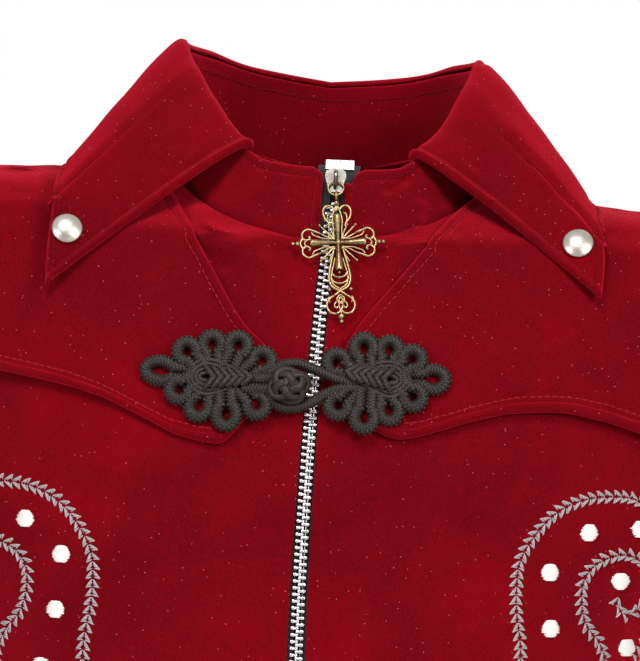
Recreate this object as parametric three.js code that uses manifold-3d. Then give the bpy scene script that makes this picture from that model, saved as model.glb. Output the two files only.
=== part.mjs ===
// A woman's velvet tailcoat, filled out as it is worn: zip front, stand collar with a wide pointed leaf,
// two loose shoulder flaps held by a braided frog, long sleeves and two tails. Millimetres, +Z up, the
// front faces -Y, +X is the wearer's left. The origin is the middle of the neck, level with the points
// where the shoulder seams meet the collar, which is where the wearer's neck and shoulders carry the coat.
import * as THREE from "three";
import { mergeVertices } from "three/addons/utils/BufferGeometryUtils.js";
import Module from "manifold-3d";

const wasm = await Module();
wasm.setup();

// ---------------------------------------------------------------- driving dimensions
const clothThickness = 1.8; // velvet with its lining
const flapThickness = 2.2; // velvet turned back on itself
const collarThickness = 2.4; // two layers and interfacing
const seamGap = 0.35; // between pieces that are sewn together
const layerGap = 0.5; // between pieces that lie on each other
const trimGap = 0.45; // where one piece is trimmed to clear another
const roundness = 2.2; // exponent of the level sections, 2 is an ellipse
const neckHalfWidth = 72;
const neckFrontDepth = 75;
const neckBackDepth = 60;
const neckFrontDrop = 46; // front neck seam below the shoulder neck points
const neckBackDrop = 14;
const shoulderDrop = 37; // shoulder point below the neck point
const armpitDrop = 215;
const frontHem = { centre: -478, side: -442 };
const tailHem = { centre: -985, edge: -930 };
const zipHalfGap = 3.9; // each front edge from the middle of the zip
const deg = Math.PI / 180;

// Half width and depths of the level sections, from the shoulder point down.
const formTable = [
  { z: -985, width: 196, front: 104, back: 150 },
  { z: -800, width: 190, front: 104, back: 140 },
  { z: -620, width: 182, front: 104, back: 128 },
  { z: -540, width: 166, front: 104, back: 112 },
  { z: -470, width: 146, front: 105, back: 88 },
  { z: -410, width: 133, front: 99, back: 74 },
  { z: -350, width: 145, front: 112, back: 82 },
  { z: -300, width: 156, front: 125, back: 92 },
  { z: -250, width: 163, front: 131, back: 101 },
  { z: -215, width: 163, front: 127, back: 106 },
  { z: -180, width: 171, front: 120, back: 108 },
  { z: -140, width: 184, front: 111, back: 105 },
  { z: -100, width: 191, front: 99, back: 98 },
  { z: -70, width: 193, front: 87, back: 89 },
  { z: -46, width: 192, front: 75, back: 80 },
];
// The shoulder seam as it is seen from the front, from the shoulder point to the neck point.
const shoulderTable = [
  { z: -shoulderDrop, width: 190 },
  { z: -34, width: 172 },
  { z: -32, width: 150 },
  { z: -30.8, width: 128 },
  { z: -28, width: 106 },
  { z: -21, width: 94 },
  { z: -12, width: 84 },
  { z: -5, width: 77 },
  { z: 0, width: neckHalfWidth },
];
const backNeckTable = [
  { z: -46, depth: 80 },
  { z: -30, depth: 71 },
  { z: -neckBackDrop, depth: neckBackDepth },
  { z: -7, depth: 50 },
  { z: -2, depth: 32 },
  { z: 0, depth: 14 },
];
// Armholes as they are seen from the front: distance from the middle of the body at each height.
const armholeTable = [
  { z: -armpitDrop, front: 163, back: 163 },
  { z: -207, front: 158, back: 161 },
  { z: -192, front: 154, back: 160 },
  { z: -165, front: 151, back: 159 },
  { z: -130, front: 150, back: 158 },
  { z: -90, front: 156, back: 162 },
  { z: -60, front: 169, back: 173 },
  { z: -shoulderDrop, front: 190, back: 190 },
];
// The coat leans a little to the wearer's left towards the neck, and the zip a little more.
const leanTable = [
  { z: -985, body: 0, zip: 0 },
  { z: -300, body: 0, zip: -1 },
  { z: -190, body: 0, zip: -1.2 },
  { z: -114, body: 1.6, zip: -1.2 },
  { z: -78, body: 2.8, zip: -0.5 },
  { z: -40, body: 4, zip: 0.8 },
  { z: -20, body: 4, zip: 2.4 },
  { z: -8, body: 4, zip: 4.6 },
  { z: 35, body: 2, zip: 4.6 },
];

// ---------------------------------------------------------------- small mathematics
// Smooth curve through a table's rows that never overshoots them (monotone cubic).
function along(table, z, column, key = "z") {
  const rows = table[0][key] < table[table.length - 1][key] ? table : [...table].reverse();
  const last = rows.length - 1;
  if (z <= rows[0][key]) return rows[0][column];
  if (z >= rows[last][key]) return rows[last][column];
  let i = 0;
  while (z > rows[i + 1][key]) i++;
  const slope = (k) => (rows[k + 1][column] - rows[k][column]) / (rows[k + 1][key] - rows[k][key]);
  const tangent = (k) => {
    if (k === 0) return slope(0);
    if (k === last) return slope(last - 1);
    const before = slope(k - 1);
    const after = slope(k);
    return before * after <= 0 ? 0 : (2 * before * after) / (before + after);
  };
  const h = rows[i + 1][key] - rows[i][key];
  const t = (z - rows[i][key]) / h;
  const startWeight = 2 * t ** 3 - 3 * t ** 2 + 1;
  const endWeight = 3 * t ** 2 - 2 * t ** 3;
  const startPull = (t ** 3 - 2 * t ** 2 + t) * h * tangent(i);
  const endPull = (t ** 3 - t ** 2) * h * tangent(i + 1);
  return rows[i][column] * startWeight + rows[i + 1][column] * endWeight + startPull + endPull;
}
const clamp = (v, low, high) => Math.min(high, Math.max(low, v));
const mix = (a, b, t) => a + (b - a) * t;
const smooth = (a, b, v) => {
  const t = clamp((v - a) / (b - a), 0, 1);
  return t * t * (3 - 2 * t);
};
const bump = (v, middle, reach) => Math.exp(-(((v - middle) / reach) ** 2));
const even = (count, from, to) => Array.from({ length: count + 1 }, (_, i) => mix(from, to, i / count));

// ---------------------------------------------------------------- the worn form
// Angle round the front neck, from its middle, at which the neck seam has height z.
const frontNeckAngle = (z) => Math.acos(clamp(-z / neckFrontDrop, 0, 1));
const backNeckSine = (z) => clamp(1 + z / neckBackDrop, 0, 1);

function sectionAt(z) {
  const width = z > -shoulderDrop ? along(shoulderTable, z, "width") : along(formTable, z, "width");
  let front = along(formTable, z, "front");
  if (z > -neckFrontDrop) {
    // the section passes through the neck seam
    const turn = frontNeckAngle(z);
    const share = clamp((neckHalfWidth * Math.sin(turn)) / width, 0, 0.9999) ** roundness;
    front = Math.max((neckFrontDepth * Math.cos(turn)) / (1 - share) ** (1 / roundness), 6);
  }
  const back = z > -46 ? along(backNeckTable, z, "depth") : along(formTable, z, "back");
  return { width, front, back };
}
// The angle, 0 at centre front and 90 degrees at the side, at which a level section has that half width.
const angleAtWidth = (x, z) => Math.asin(clamp(x / sectionAt(z).width, 0, 1) ** (roundness / 2));

// The wearer's right shoulder is carried a little higher.
const rightShoulderRise = 8;
const riseAt = (x, z, side) =>
  side < 0 ? rightShoulderRise * smooth(78, 118, x) * smooth(-120, -42, z) : 0;

// Soft fullness and folds of the cloth, outwards, by height and by distance from the middle.
function fullness(x, z, isBack) {
  if (isBack) {
    const flutes = 11 * smooth(-470, -800, z) * Math.cos(x / 13.5);
    const waistCreases = 2.2 * bump(z, -395, 9) * bump(x, 60, 45) + 1.8 * bump(z, -425, 8) * bump(x, 75, 40);
    return flutes + waistCreases + 4 * bump(z, -150, 60) * bump(x, 75, 45);
  }
  const bust = 15 * bump(z, -242, 52) * bump(x, 84, 46);
  const drag = 2.4 * bump(z + 0.35 * x, -150, 13) * bump(x, 70, 42);
  const upperCrease = 2 * bump(z - 0.2 * x, -400, 9) * bump(x, 80, 40);
  const waistCreases = upperCrease + 1.6 * bump(z, -432, 8) * bump(x, 60, 35);
  return bust + drag + waistCreases;
}

// A point of the worn form on the wearer's left half; side -1 mirrors it before the lean is added.
function formPoint(angle, z, side) {
  const { width, front, back } = sectionAt(z);
  const isBack = Math.cos(angle) < 0;
  const x = width * Math.abs(Math.sin(angle)) ** (2 / roundness);
  const depth = (isBack ? back : -front) * Math.abs(Math.cos(angle)) ** (2 / roundness);
  const out = fullness(x, z, isBack);
  const cut = smooth(0, 40, -z) * out;
  return new THREE.Vector3(
    side * (x + cut * Math.sin(angle) * 0.5) + along(leanTable, z, "body"),
    depth + (isBack ? cut : -cut) * Math.abs(Math.cos(angle)),
    z + riseAt(x, z, side),
  );
}

// ---------------------------------------------------------------- closed walls from grids of points
function gridNormals(grid, closed) {
  const rows = grid.length;
  const columns = grid[0].length;
  return grid.map((row, i) =>
    row.map((_, j) => {
      const left = closed ? row[(j + columns - 1) % columns] : row[Math.max(j - 1, 0)];
      const right = closed ? row[(j + 1) % columns] : row[Math.min(j + 1, columns - 1)];
      const below = grid[Math.max(i - 1, 0)][j];
      const above = grid[Math.min(i + 1, rows - 1)][j];
      return right.clone().sub(left).cross(above.clone().sub(below)).normalize();
    }),
  );
}

// A wall between two offsets from a grid, along its normals, with every edge closed. The columns run so
// that (next column) x (next row) points outwards.
function wall(grid, from, to, closed = false, normals = gridNormals(grid, closed)) {
  const rows = grid.length;
  const columns = grid[0].length;
  const at = (offset, i, j) =>
    typeof offset === "function" ? offset(i / (rows - 1), j / (columns - 1)) : offset;
  const layer = (offset) =>
    grid.map((row, i) => row.map((p, j) => p.clone().addScaledVector(normals[i][j], at(offset, i, j))));
  const outer = layer(to);
  const inner = layer(from);
  const positions = [...outer.flat(), ...inner.flat()].flatMap((p) => p.toArray());
  const index = [];
  const half = rows * columns;
  const quad = (a, b, c, d) => index.push(a, b, c, a, c, d);
  const span = closed ? columns : columns - 1;
  for (let i = 0; i < rows - 1; i++) {
    for (let j = 0; j < span; j++) {
      const a = i * columns + j;
      const b = i * columns + ((j + 1) % columns);
      quad(a, b, b + columns, a + columns);
      quad(half + a, half + a + columns, half + b + columns, half + b);
    }
  }
  for (let j = 0; j < span; j++) {
    const k = (j + 1) % columns;
    const top = (rows - 1) * columns;
    quad(half + j, half + k, k, j);
    quad(top + j, top + k, half + top + k, half + top + j);
  }
  if (!closed) {
    for (let i = 0; i < rows - 1; i++) {
      const a = i * columns;
      const b = a + columns - 1;
      quad(half + a, a, a + columns, half + a + columns);
      quad(b, half + b, half + b + columns, b + columns);
    }
  }
  const geometry = new THREE.BufferGeometry();
  geometry.setAttribute("position", new THREE.Float32BufferAttribute(positions, 3));
  geometry.setIndex(index);
  return geometry;
}
// The grid carried on a little past each open edge, which makes a wall that clears its neighbours.
function carriedOn(grid, reach, closed) {
  const past = (a, b) => a.clone().addScaledVector(a.clone().sub(b).normalize(), reach);
  const wide = closed
    ? grid
    : grid.map((row) => [past(row[0], row[1]), ...row, past(row[row.length - 1], row[row.length - 2])]);
  const last = wide.length - 1;
  return [
    wide[0].map((p, j) => past(p, wide[1][j])),
    ...wide,
    wide[last].map((p, j) => past(p, wide[last - 1][j])),
  ];
}
// The room that a wall takes from its neighbours: it made thicker, and for twisted ones moved a gap each way.
const swollen = (grid, from, to, closed = false) =>
  solidOf(wall(carriedOn(grid, trimGap, closed), from - trimGap, to + trimGap, closed));
function movedAbout(solid, gap) {
  const moves = [[gap, 0, 0], [-gap, 0, 0], [0, gap, 0], [0, -gap, 0], [0, 0, gap]];
  return moves.reduce((room, move) => room.add(solid.translate(move)), solid);
}
const clearanceOf = (grid, from, to) =>
  swollen(grid, from, to).add(movedAbout(solidOf(wall(grid, from, to)), trimGap));
// A grid built for the wearer's left, put in the order that keeps its normals outwards on either side.
const sided = (grid, side) => (side > 0 ? grid : grid.map((row) => [...row].reverse()));

// ---------------------------------------------------------------- solids joined with manifold-3d
function solidOf(geometry) {
  const bare = geometry.clone();
  for (const name of Object.keys(bare.attributes)) if (name !== "position") bare.deleteAttribute(name);
  const merged = mergeVertices(bare, 1e-4);
  return new wasm.Manifold(
    new wasm.Mesh({
      numProp: 3,
      vertProperties: new Float32Array(merged.attributes.position.array),
      triVerts: new Uint32Array(merged.index.array),
    }),
  );
}
function geometryOf(solid) {
  const mesh = solid.getMesh();
  const geometry = new THREE.BufferGeometry();
  geometry.setAttribute("position", new THREE.BufferAttribute(new Float32Array(mesh.vertProperties), 3));
  geometry.setIndex(new THREE.BufferAttribute(new Uint32Array(mesh.triVerts), 1));
  return geometry;
}
// Corners closer together than this, left where surfaces cross, are made one, and so are the two nearest
// corners of a facet that has no height.
const sliver = 0.06;
const noHeight = 0.004;
function welded(solid) {
  const { vertProperties: at, triVerts } = solid.getMesh();
  const merged = Array.from({ length: at.length / 3 }, (_, i) => i);
  const kept = (i) => (merged[i] === i ? i : kept(merged[i]));
  const corner = (i) => vector(at[3 * i], at[3 * i + 1], at[3 * i + 2]);
  for (let t = 0; t < triVerts.length; t += 3) {
    const face = [t, t + 1, t + 2].map((i) => triVerts[i]);
    const [a, b, c] = face.map(corner);
    const lengths = [a.distanceTo(b), b.distanceTo(c), c.distanceTo(a)];
    const height = b.clone().sub(a).cross(c.clone().sub(a)).length() / Math.max(...lengths);
    const reach = height < noHeight ? Math.min(...lengths) * 1.001 : sliver;
    for (const side of [0, 1, 2]) {
      const from = kept(face[side]);
      const to = kept(face[(side + 1) % 3]);
      if (from !== to && corner(from).distanceTo(corner(to)) < reach) merged[to] = from;
    }
  }
  const faces = [];
  for (let t = 0; t < triVerts.length; t += 3) {
    const face = [kept(triVerts[t]), kept(triVerts[t + 1]), kept(triVerts[t + 2])];
    if (new Set(face).size === 3) faces.push(...face);
  }
  const mesh = new wasm.Mesh({ numProp: 3, vertProperties: at, triVerts: new Uint32Array(faces) });
  return new wasm.Manifold(mesh);
}
function mainBody(solid) {
  const bodies = welded(welded(solid).simplify(sliver / 2)).decompose();
  return geometryOf(bodies.sort((a, b) => b.volume() - a.volume())[0]);
}
const joined = (geometries) => mainBody(geometries.map(solidOf).reduce((all, next) => all.add(next)));
// The piece less the room that its neighbours need; only its main body is kept.
const trimmed = (geometry, ...rooms) =>
  mainBody(rooms.reduce((solid, room) => solid.subtract(room), solidOf(geometry)));
const vector = (x, y, z) => new THREE.Vector3(x, y, z);
function rod(points, radius, sides = 5, steps = 10) {
  const curve = new THREE.CatmullRomCurve3(points, false, "centripetal");
  const section = new THREE.Shape(
    even(sides, 0, 2 * Math.PI)
      .slice(0, sides)
      .map((turn) => new THREE.Vector2(radius * Math.cos(turn), radius * Math.sin(turn))),
  );
  return new THREE.ExtrudeGeometry(section, { steps, extrudePath: curve, bevelEnabled: false });
}
const ball = (centre, radius, detail = 0) =>
  new THREE.IcosahedronGeometry(radius, detail).translate(...centre.toArray());

// ---------------------------------------------------------------- materials
const velvet = new THREE.MeshStandardMaterial({ color: 0x9b0f1f, roughness: 0.85, metalness: 0 });
const braid = new THREE.MeshStandardMaterial({ color: 0x25241f, roughness: 0.7, metalness: 0 });
const nickel = new THREE.MeshStandardMaterial({ color: 0xd8d4cc, roughness: 0.25, metalness: 1 });
const zipMetal = new THREE.MeshStandardMaterial({ color: 0xc9cbcc, roughness: 0.3, metalness: 1 });
const oldBrass = new THREE.MeshStandardMaterial({ color: 0x9a7b45, roughness: 0.35, metalness: 1 });
const tape = new THREE.MeshStandardMaterial({ color: 0x1b1b1c, roughness: 0.9, metalness: 0 });

const coat = new THREE.Group();
function piece(name, geometry, material) {
  const mesh = new THREE.Mesh(geometry, material);
  mesh.name = name;
  coat.add(mesh);
  return mesh;
}

// ---------------------------------------------------------------- fronts and backs
const bodyHeights = [
  ...even(6, -470, -256),
  -230, -armpitDrop, -198, -174, -146, -120, -96, -74, -58, -46, -41, -38.2, -shoulderDrop, -34.5,
  -32, -30, -25, -18, -9, -1.6,
];
const panelColumns = 8;

const zipLine = (z) => along(leanTable, z, "body") + along(leanTable, z, "zip");
// Distance of the armhole, or of the side and shoulder seams, from the middle, as an angle.
function outerAngle(z, column) {
  if (z <= -armpitDrop || z >= -shoulderDrop) return 90 * deg;
  return angleAtWidth(along(armholeTable, z, column), z);
}

function frontGrid(side) {
  const grid = bodyHeights.map((z) => {
    const { width } = sectionAt(z);
    const seam = seamGap / 2 / width;
    const start =
      z > -neckFrontDrop
        ? angleAtWidth(neckHalfWidth * Math.sin(frontNeckAngle(z)), z)
        : angleAtWidth(zipHalfGap + side * (zipLine(z) - along(leanTable, z, "body")), z);
    const end = outerAngle(z, "front") - seam;
    return even(panelColumns, 0, 1).map((share) => {
      const angle = mix(start, Math.max(end, start + 0.02), share);
      const hem = mix(frontHem.centre, frontHem.side, smooth(0, 1, share)) - bodyHeights[0];
      return formPoint(angle, z + hem * (1 - smooth(-470, -400, z)), side);
    });
  });
  return grid;
}

const tailHeights = even(5, tailHem.centre, -515);
const tailTable = [
  { z: tailHem.centre, angle: 150 },
  { z: -900, angle: 143 },
  { z: -750, angle: 128 },
  { z: -600, angle: 112 },
  { z: -500, angle: 97 },
  { z: frontHem.side, angle: 90 },
];
function backGrid(side) {
  const heights = [...tailHeights, ...bodyHeights];
  const grid = heights.map((z) => {
    const { width } = sectionAt(z);
    const vent = 1 + 7 * smooth(-440, -900, z);
    const middle = Math.PI - Math.asin(((seamGap * vent) / 2 / width) ** (roundness / 2));
    const start = z > -neckBackDrop ? Math.PI - angleAtWidth(neckHalfWidth * backNeckSine(z), z) : middle;
    const seam = seamGap / 2 / width;
    const sewn = Math.PI - outerAngle(z, "back") + seam;
    const end = z < frontHem.side ? along(tailTable, z, "angle") * deg : sewn;
    return even(panelColumns, 0, 1).map((share) => {
      const angle = mix(start, Math.min(end, start - 0.02), share);
      const hem = (tailHem.edge - tailHem.centre) * share * (1 - smooth(tailHem.centre, -700, z));
      return formPoint(angle, z + hem, side);
    });
  });
  return grid;
}

const sides = [
  { name: "left", side: 1 },
  { name: "right", side: -1 },
];
const waist = tailHeights.length; // the row where each tail is sewn to its back
const moved = (row, rise) => row.map((p) => p.clone().setZ(p.z + rise));
const room = [];
for (const part of sides) {
  part.front = frontGrid(part.side);
  part.back = backGrid(part.side);
  const front = sided(part.front, part.side);
  const back = sided(part.back, -part.side);
  piece(`front_${part.name}`, wall(front, 0, clothThickness), velvet);
  const normals = gridNormals(back, false);
  const upper = [moved(back[waist], seamGap / 2), ...back.slice(waist + 1)];
  const lower = [...back.slice(0, waist), moved(back[waist], -seamGap / 2)];
  piece(`back_${part.name}`, wall(upper, 0, clothThickness, false, normals.slice(waist)), velvet);
  piece(`tail_${part.name}`, wall(lower, 0, clothThickness, false, normals.slice(0, waist + 1)), velvet);
  part.swollen = [swollen(front, 0, clothThickness), swollen(back, 0, clothThickness)];
  part.room = [clearanceOf(front, 0, clothThickness), clearanceOf(back, 0, clothThickness)];
  room.push(...part.room);
}
// The point of a front or back panel at a place in the view from the front, moved out from its inner face.
function onPanel(panel, x, z, offset, order) {
  const grid = sided(panel, order);
  const normals = gridNormals(grid, false);
  let best = null;
  for (let i = 0; i < grid.length - 1; i++) {
    for (let j = 0; j < grid[0].length - 1; j++) {
      const a = grid[i][j];
      const b = grid[i][j + 1];
      const c = grid[i + 1][j];
      const d = grid[i + 1][j + 1];
      // the cell's own shares at (x, z), from a few Newton steps
      let u = 0.5;
      let v = 0.5;
      const at = (key) => mix(mix(a[key], b[key], u), mix(c[key], d[key], u), v);
      for (let step = 0; step < 5; step++) {
        const xu = mix(b.x - a.x, d.x - c.x, v);
        const xv = mix(c.x - a.x, d.x - b.x, u);
        const zu = mix(b.z - a.z, d.z - c.z, v);
        const zv = mix(c.z - a.z, d.z - b.z, u);
        const size = xu * zv - xv * zu;
        const dx = x - at("x");
        const dz = z - at("z");
        u += (dx * zv - dz * xv) / size;
        v += (dz * xu - dx * zu) / size;
      }
      const outside = Math.max(0, -u, u - 1) + Math.max(0, -v, v - 1);
      const miss = 20 * outside + Math.abs(x - at("x")) + Math.abs(z - at("z"));
      if (!(miss < (best ? best.miss : Infinity))) continue;
      const normal = normals[i][j].clone().lerp(normals[i][j + 1], u)
        .lerp(normals[i + 1][j].clone().lerp(normals[i + 1][j + 1], u), v).normalize();
      best = { miss, point: vector(at("x"), at("y"), at("z")).addScaledVector(normal, offset), normal };
    }
  }
  return best;
}

// ---------------------------------------------------------------- sleeves
// Level sections of the sleeve below its cap, on the wearer's left.
const sleeveTable = [
  { z: -240, x: 214, y: 6, width: 44, depth: 61 },
  { z: -300, x: 223, y: 9, width: 43, depth: 56 },
  { z: -360, x: 232, y: 8, width: 41, depth: 50 },
  { z: -430, x: 242, y: 0, width: 39, depth: 45 },
  { z: -500, x: 252, y: -12, width: 37, depth: 42 },
  { z: -560, x: 260, y: -24, width: 36, depth: 40 },
  { z: -632, x: 270, y: -40, width: 35, depth: 38 },
];
const sleeveColumns = 14;
const capRows = [0, 0.13, 0.36, 0.66];
const sleeveHeights = even(8, sleeveTable[0].z, -632);

function sleeveSection(turn, z) {
  const row = (column) => along(sleeveTable, z, column);
  const elbow = 3 * bump(z, -352, 9) + 2.5 * bump(z, -384, 10);
  const inFront = Math.max(0, Math.sin(turn)) * Math.max(0, -Math.cos(turn) + 0.6);
  const out = 1 - (elbow * inFront) / 45;
  const x = row("x") + row("width") * Math.cos(turn) * out;
  return vector(x, row("y") - row("depth") * Math.sin(turn) * out, z);
}
function capSection(turn, share, side) {
  const z = mix(-shoulderDrop, -armpitDrop, (1 - Math.cos(turn)) / 2);
  const angle = outerAngle(z, Math.sin(turn) >= 0 ? "front" : "back");
  const start = formPoint(Math.sin(turn) >= 0 ? angle : Math.PI - angle, z, side);
  start.x = side * (start.x - along(leanTable, z, "body"));
  const end = sleeveSection(turn, sleeveTable[0].z);
  const low = (1 - Math.cos(turn)) / 2;
  const leaving = vector(1, 0.45 * Math.sin(turn) * (1 - low * 0.6), mix(-0.05, 0.3, low));
  start.addScaledVector(leaving, 0.45);
  const reach = start.distanceTo(end);
  const bezier = new THREE.CubicBezierCurve3(
    start,
    start.clone().addScaledVector(leaving, reach * mix(0.3, 0.32, low)),
    end.clone().add(vector(-3, 0, reach * mix(0.5, 0.3, low))),
    end,
  );
  return bezier.getPoint(share);
}
function sleeveGrid(side) {
  const turns = even(sleeveColumns, 0, 2 * Math.PI).slice(0, sleeveColumns);
  const grid = [
    ...capRows.map((share) => turns.map((turn) => capSection(turn, share, side))),
    ...sleeveHeights.map((z) => turns.map((turn) => sleeveSection(turn, z))),
  ];
  for (const p of grid.flat()) p.set(side * p.x + along(leanTable, p.z, "body"), p.y, p.z);
  return sided(grid, side);
}
// Each sleeve is cut in two, with seams at the forearm and at the hindarm: the first and last column of each
// cut, counted from the outside of the arm towards its front.
const sleeveCuts = [
  { name: "sleeve_upper", first: 10, last: 19 },
  { name: "sleeve_under", first: 5, last: 10 },
];
function sleeveCut(grid, { first, last }, side) {
  const from = side > 0 ? first : 2 * sleeveColumns - 1 - last;
  const columns = even(last - first, from, from + last - first).map((j) => Math.round(j) % sleeveColumns);
  const pick = (rows) => rows.map((row) => columns.map((j) => row[j].clone()));
  const cut = pick(grid);
  for (const row of cut) {
    const step = (a, b) => b.clone().sub(a).normalize().multiplyScalar(seamGap / 2);
    row[0].add(step(row[0], row[1]));
    row[row.length - 1].add(step(row[row.length - 1], row[row.length - 2]));
  }
  return wall(cut, 0, clothThickness, false, pick(gridNormals(grid, true)));
}

// ---------------------------------------------------------------- collar
const foldHalfWidth = 62;
const foldFrontDepth = 64;
const foldBackDepth = 62;
// Height of the fold line between stand and leaf by the angle round the neck, 0 at centre front.
const foldTable = [
  { turn: 0, z: -15.5 },
  { turn: 10, z: -15 },
  { turn: 26, z: -13 },
  { turn: 36, z: -7 },
  { turn: 45, z: 0 },
  { turn: 54, z: 9 },
  { turn: 67, z: 22.5 },
  { turn: 85, z: 33.5 },
  { turn: 120, z: 32 },
  { turn: 150, z: 27 },
  { turn: 180, z: 23.5 },
];
// Where the outer edge of the leaf lies on the worn form: half width, height, and on its front or back.
const leafTable = [
  { turn: 32, x: 111.5, z: -66 },
  { turn: 43, x: 112, z: -54 },
  { turn: 56, x: 111.5, z: -43 },
  { turn: 70, x: 110, z: -33.5 },
  { turn: 88, x: 107, z: -28.3 },
  { turn: 105, x: 101, z: -27.5 },
  { turn: 120, x: 88, z: -29 },
  { turn: 150, x: 52, z: -39 },
  { turn: 180, x: 0, z: -45 },
];
const leafStart = 32;
const foldSkew = 1.4; // the fold is this much higher on the wearer's right
const tipSkew = 2; // and the leaf's point this much lower
const leafRows = [0, 0.05, 0.14, 0.28, 0.46, 0.72, 1];
const cornerRound = 7;

function ringPoint(turn, width, front, back, z, side) {
  const y = Math.cos(turn) > 0 ? -front * Math.cos(turn) : -back * Math.cos(turn);
  return vector(side * width * Math.sin(turn) + along(leanTable, z, "body"), y, z);
}
const neckPoint = (turn, side) =>
  ringPoint(turn, neckHalfWidth, neckFrontDepth, neckBackDepth,
    -(Math.cos(turn) > 0 ? neckFrontDrop : -neckBackDrop) * Math.cos(turn), side);
const foldPoint = (turn, side) =>
  ringPoint(turn, foldHalfWidth, foldFrontDepth, foldBackDepth,
    along(foldTable, turn / deg, "z", "turn") - side * foldSkew * Math.sin(turn), side);

// A point above the front or back, x being its distance from the middle.
function above(x, z, side, offset, isBack = false) {
  const part = sides.find((each) => each.side === side);
  const across = side * x + along(leanTable, z, "body");
  return isBack
    ? onPanel(part.back, across, z, offset, -side).point
    : onPanel(part.front, across, z, offset, side).point;
}

function standColumn(turn, side, share) {
  const bottom = neckPoint(turn, side);
  bottom.z += 0.45;
  const top = foldPoint(turn, side);
  const zipShift = side * (zipLine(top.z) - along(leanTable, top.z, "body"));
  const start = (mix(zipHalfGap, zipHalfGap + 1.6, share) + zipShift) / foldHalfWidth;
  const fromEdge = Math.max(turn - start, 0) * foldHalfWidth;
  const corner = fromEdge < cornerRound ? 1 - Math.sqrt(1 - (1 - fromEdge / cornerRound) ** 2) : 0;
  top.lerp(bottom, (corner * cornerRound) / top.distanceTo(bottom));
  return bottom.lerp(top, share);
}
function standGrid() {
  const turnsOf = (side) => {
    const start = (zipHalfGap + 0.6 + side * (zipLine(-30) - along(leanTable, -30, "body"))) / 68;
    return [start, start + 0.03, start + 0.07, start + 0.13, ...even(9, 16 * deg, 180 * deg).slice(1)];
  };
  const left = turnsOf(1).map((turn) => [turn, 1]);
  const right = turnsOf(-1).slice(0, -1).map((turn) => [turn, -1]).reverse();
  const columns = [...left, ...right];
  return even(4, 0, 1).map((share) => columns.map(([turn, side]) => standColumn(turn, side, share)));
}
// The stand stands on the front's edge at the zip and inside the neck seam further round.
const standSetBack = (column) => -2.7 * smooth(0.02, 0.2, Math.min(column, 1 - column));

function leafColumn(turn, side) {
  const fold = foldPoint(turn, side);
  fold.z += 0.9;
  const x = along(leafTable, turn / deg, "x", "turn");
  const level = along(leafTable, turn / deg, "z", "turn") + side * tipSkew * smooth(60, 32, turn / deg);
  const z = level + riseAt(x, level, side) * smooth(48, 80, turn / deg);
  const inFront = mix(7.3, 11.2, bump(turn / deg, 46, 20));
  const offset = mix(inFront, 3.4, smooth(90, 130, turn / deg));
  const end = above(x, z, side, offset, turn > 88 * deg);
  const outward = vector(end.x - fold.x, end.y - fold.y, 0).normalize();
  const roll = fold.clone().addScaledVector(outward, 0.6).add(vector(0, 0, 3.6));
  const slope = fold.clone().lerp(end, 0.3).addScaledVector(outward, 2.5).add(vector(0, 0, 3));
  const bezier = new THREE.CubicBezierCurve3(fold, roll, slope, end);
  return leafRows.map((share) => bezier.getPoint(share));
}
function leafGrid() {
  const turns = even(16, leafStart * deg, 180 * deg);
  const right = turns.map((turn) => leafColumn(turn, -1));
  const left = turns.slice(0, -1).map((turn) => leafColumn(turn, 1)).reverse();
  const columns = [...right, ...left];
  return leafRows.map((_, i) => columns.map((column) => column[i]));
}
const stand = standGrid();
const standWall = wall(stand, (r, c) => standSetBack(c), (r, c) => standSetBack(c) + 2);
piece("collar_stand", trimmed(standWall, ...room), velvet);
piece("collar_leaf", wall(leafGrid(), 0, collarThickness), velvet);

// ---------------------------------------------------------------- shoulder flaps
// The flaps' free edges, as distances from the middle: the opening between them, then the lower edges.
const flapOpening = [
  { z: -105, left: 6, right: 8 },
  { z: -95, left: 8, right: 15 },
  { z: -81, left: 14.5, right: 30 },
  { z: -60, left: 30, right: 44.5 },
  { z: -42, left: 44, right: 56 },
  { z: -29, left: 57, right: 64.5 },
  { z: -14, left: 70.5, right: 72 },
  { z: -1.6, left: 74, right: 74 },
];
const flapHem = [
  { x: 6, left: -105, right: -103 },
  { x: 16, left: -114, right: -108 },
  { x: 25, left: -121, right: -117 },
  { x: 35, left: -123.9, right: -127 },
  { x: 50, left: -120.4, right: -124.8 },
  { x: 64, left: -115.8, right: -119 },
  { x: 82, left: -111.8, right: -111.8 },
  { x: 98, left: -111, right: -107.8 },
  { x: 115, left: -113.6, right: -104.8 },
  { x: 131, left: -118, right: -102.6 },
  { x: 152, left: -124, right: -101 },
];
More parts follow.
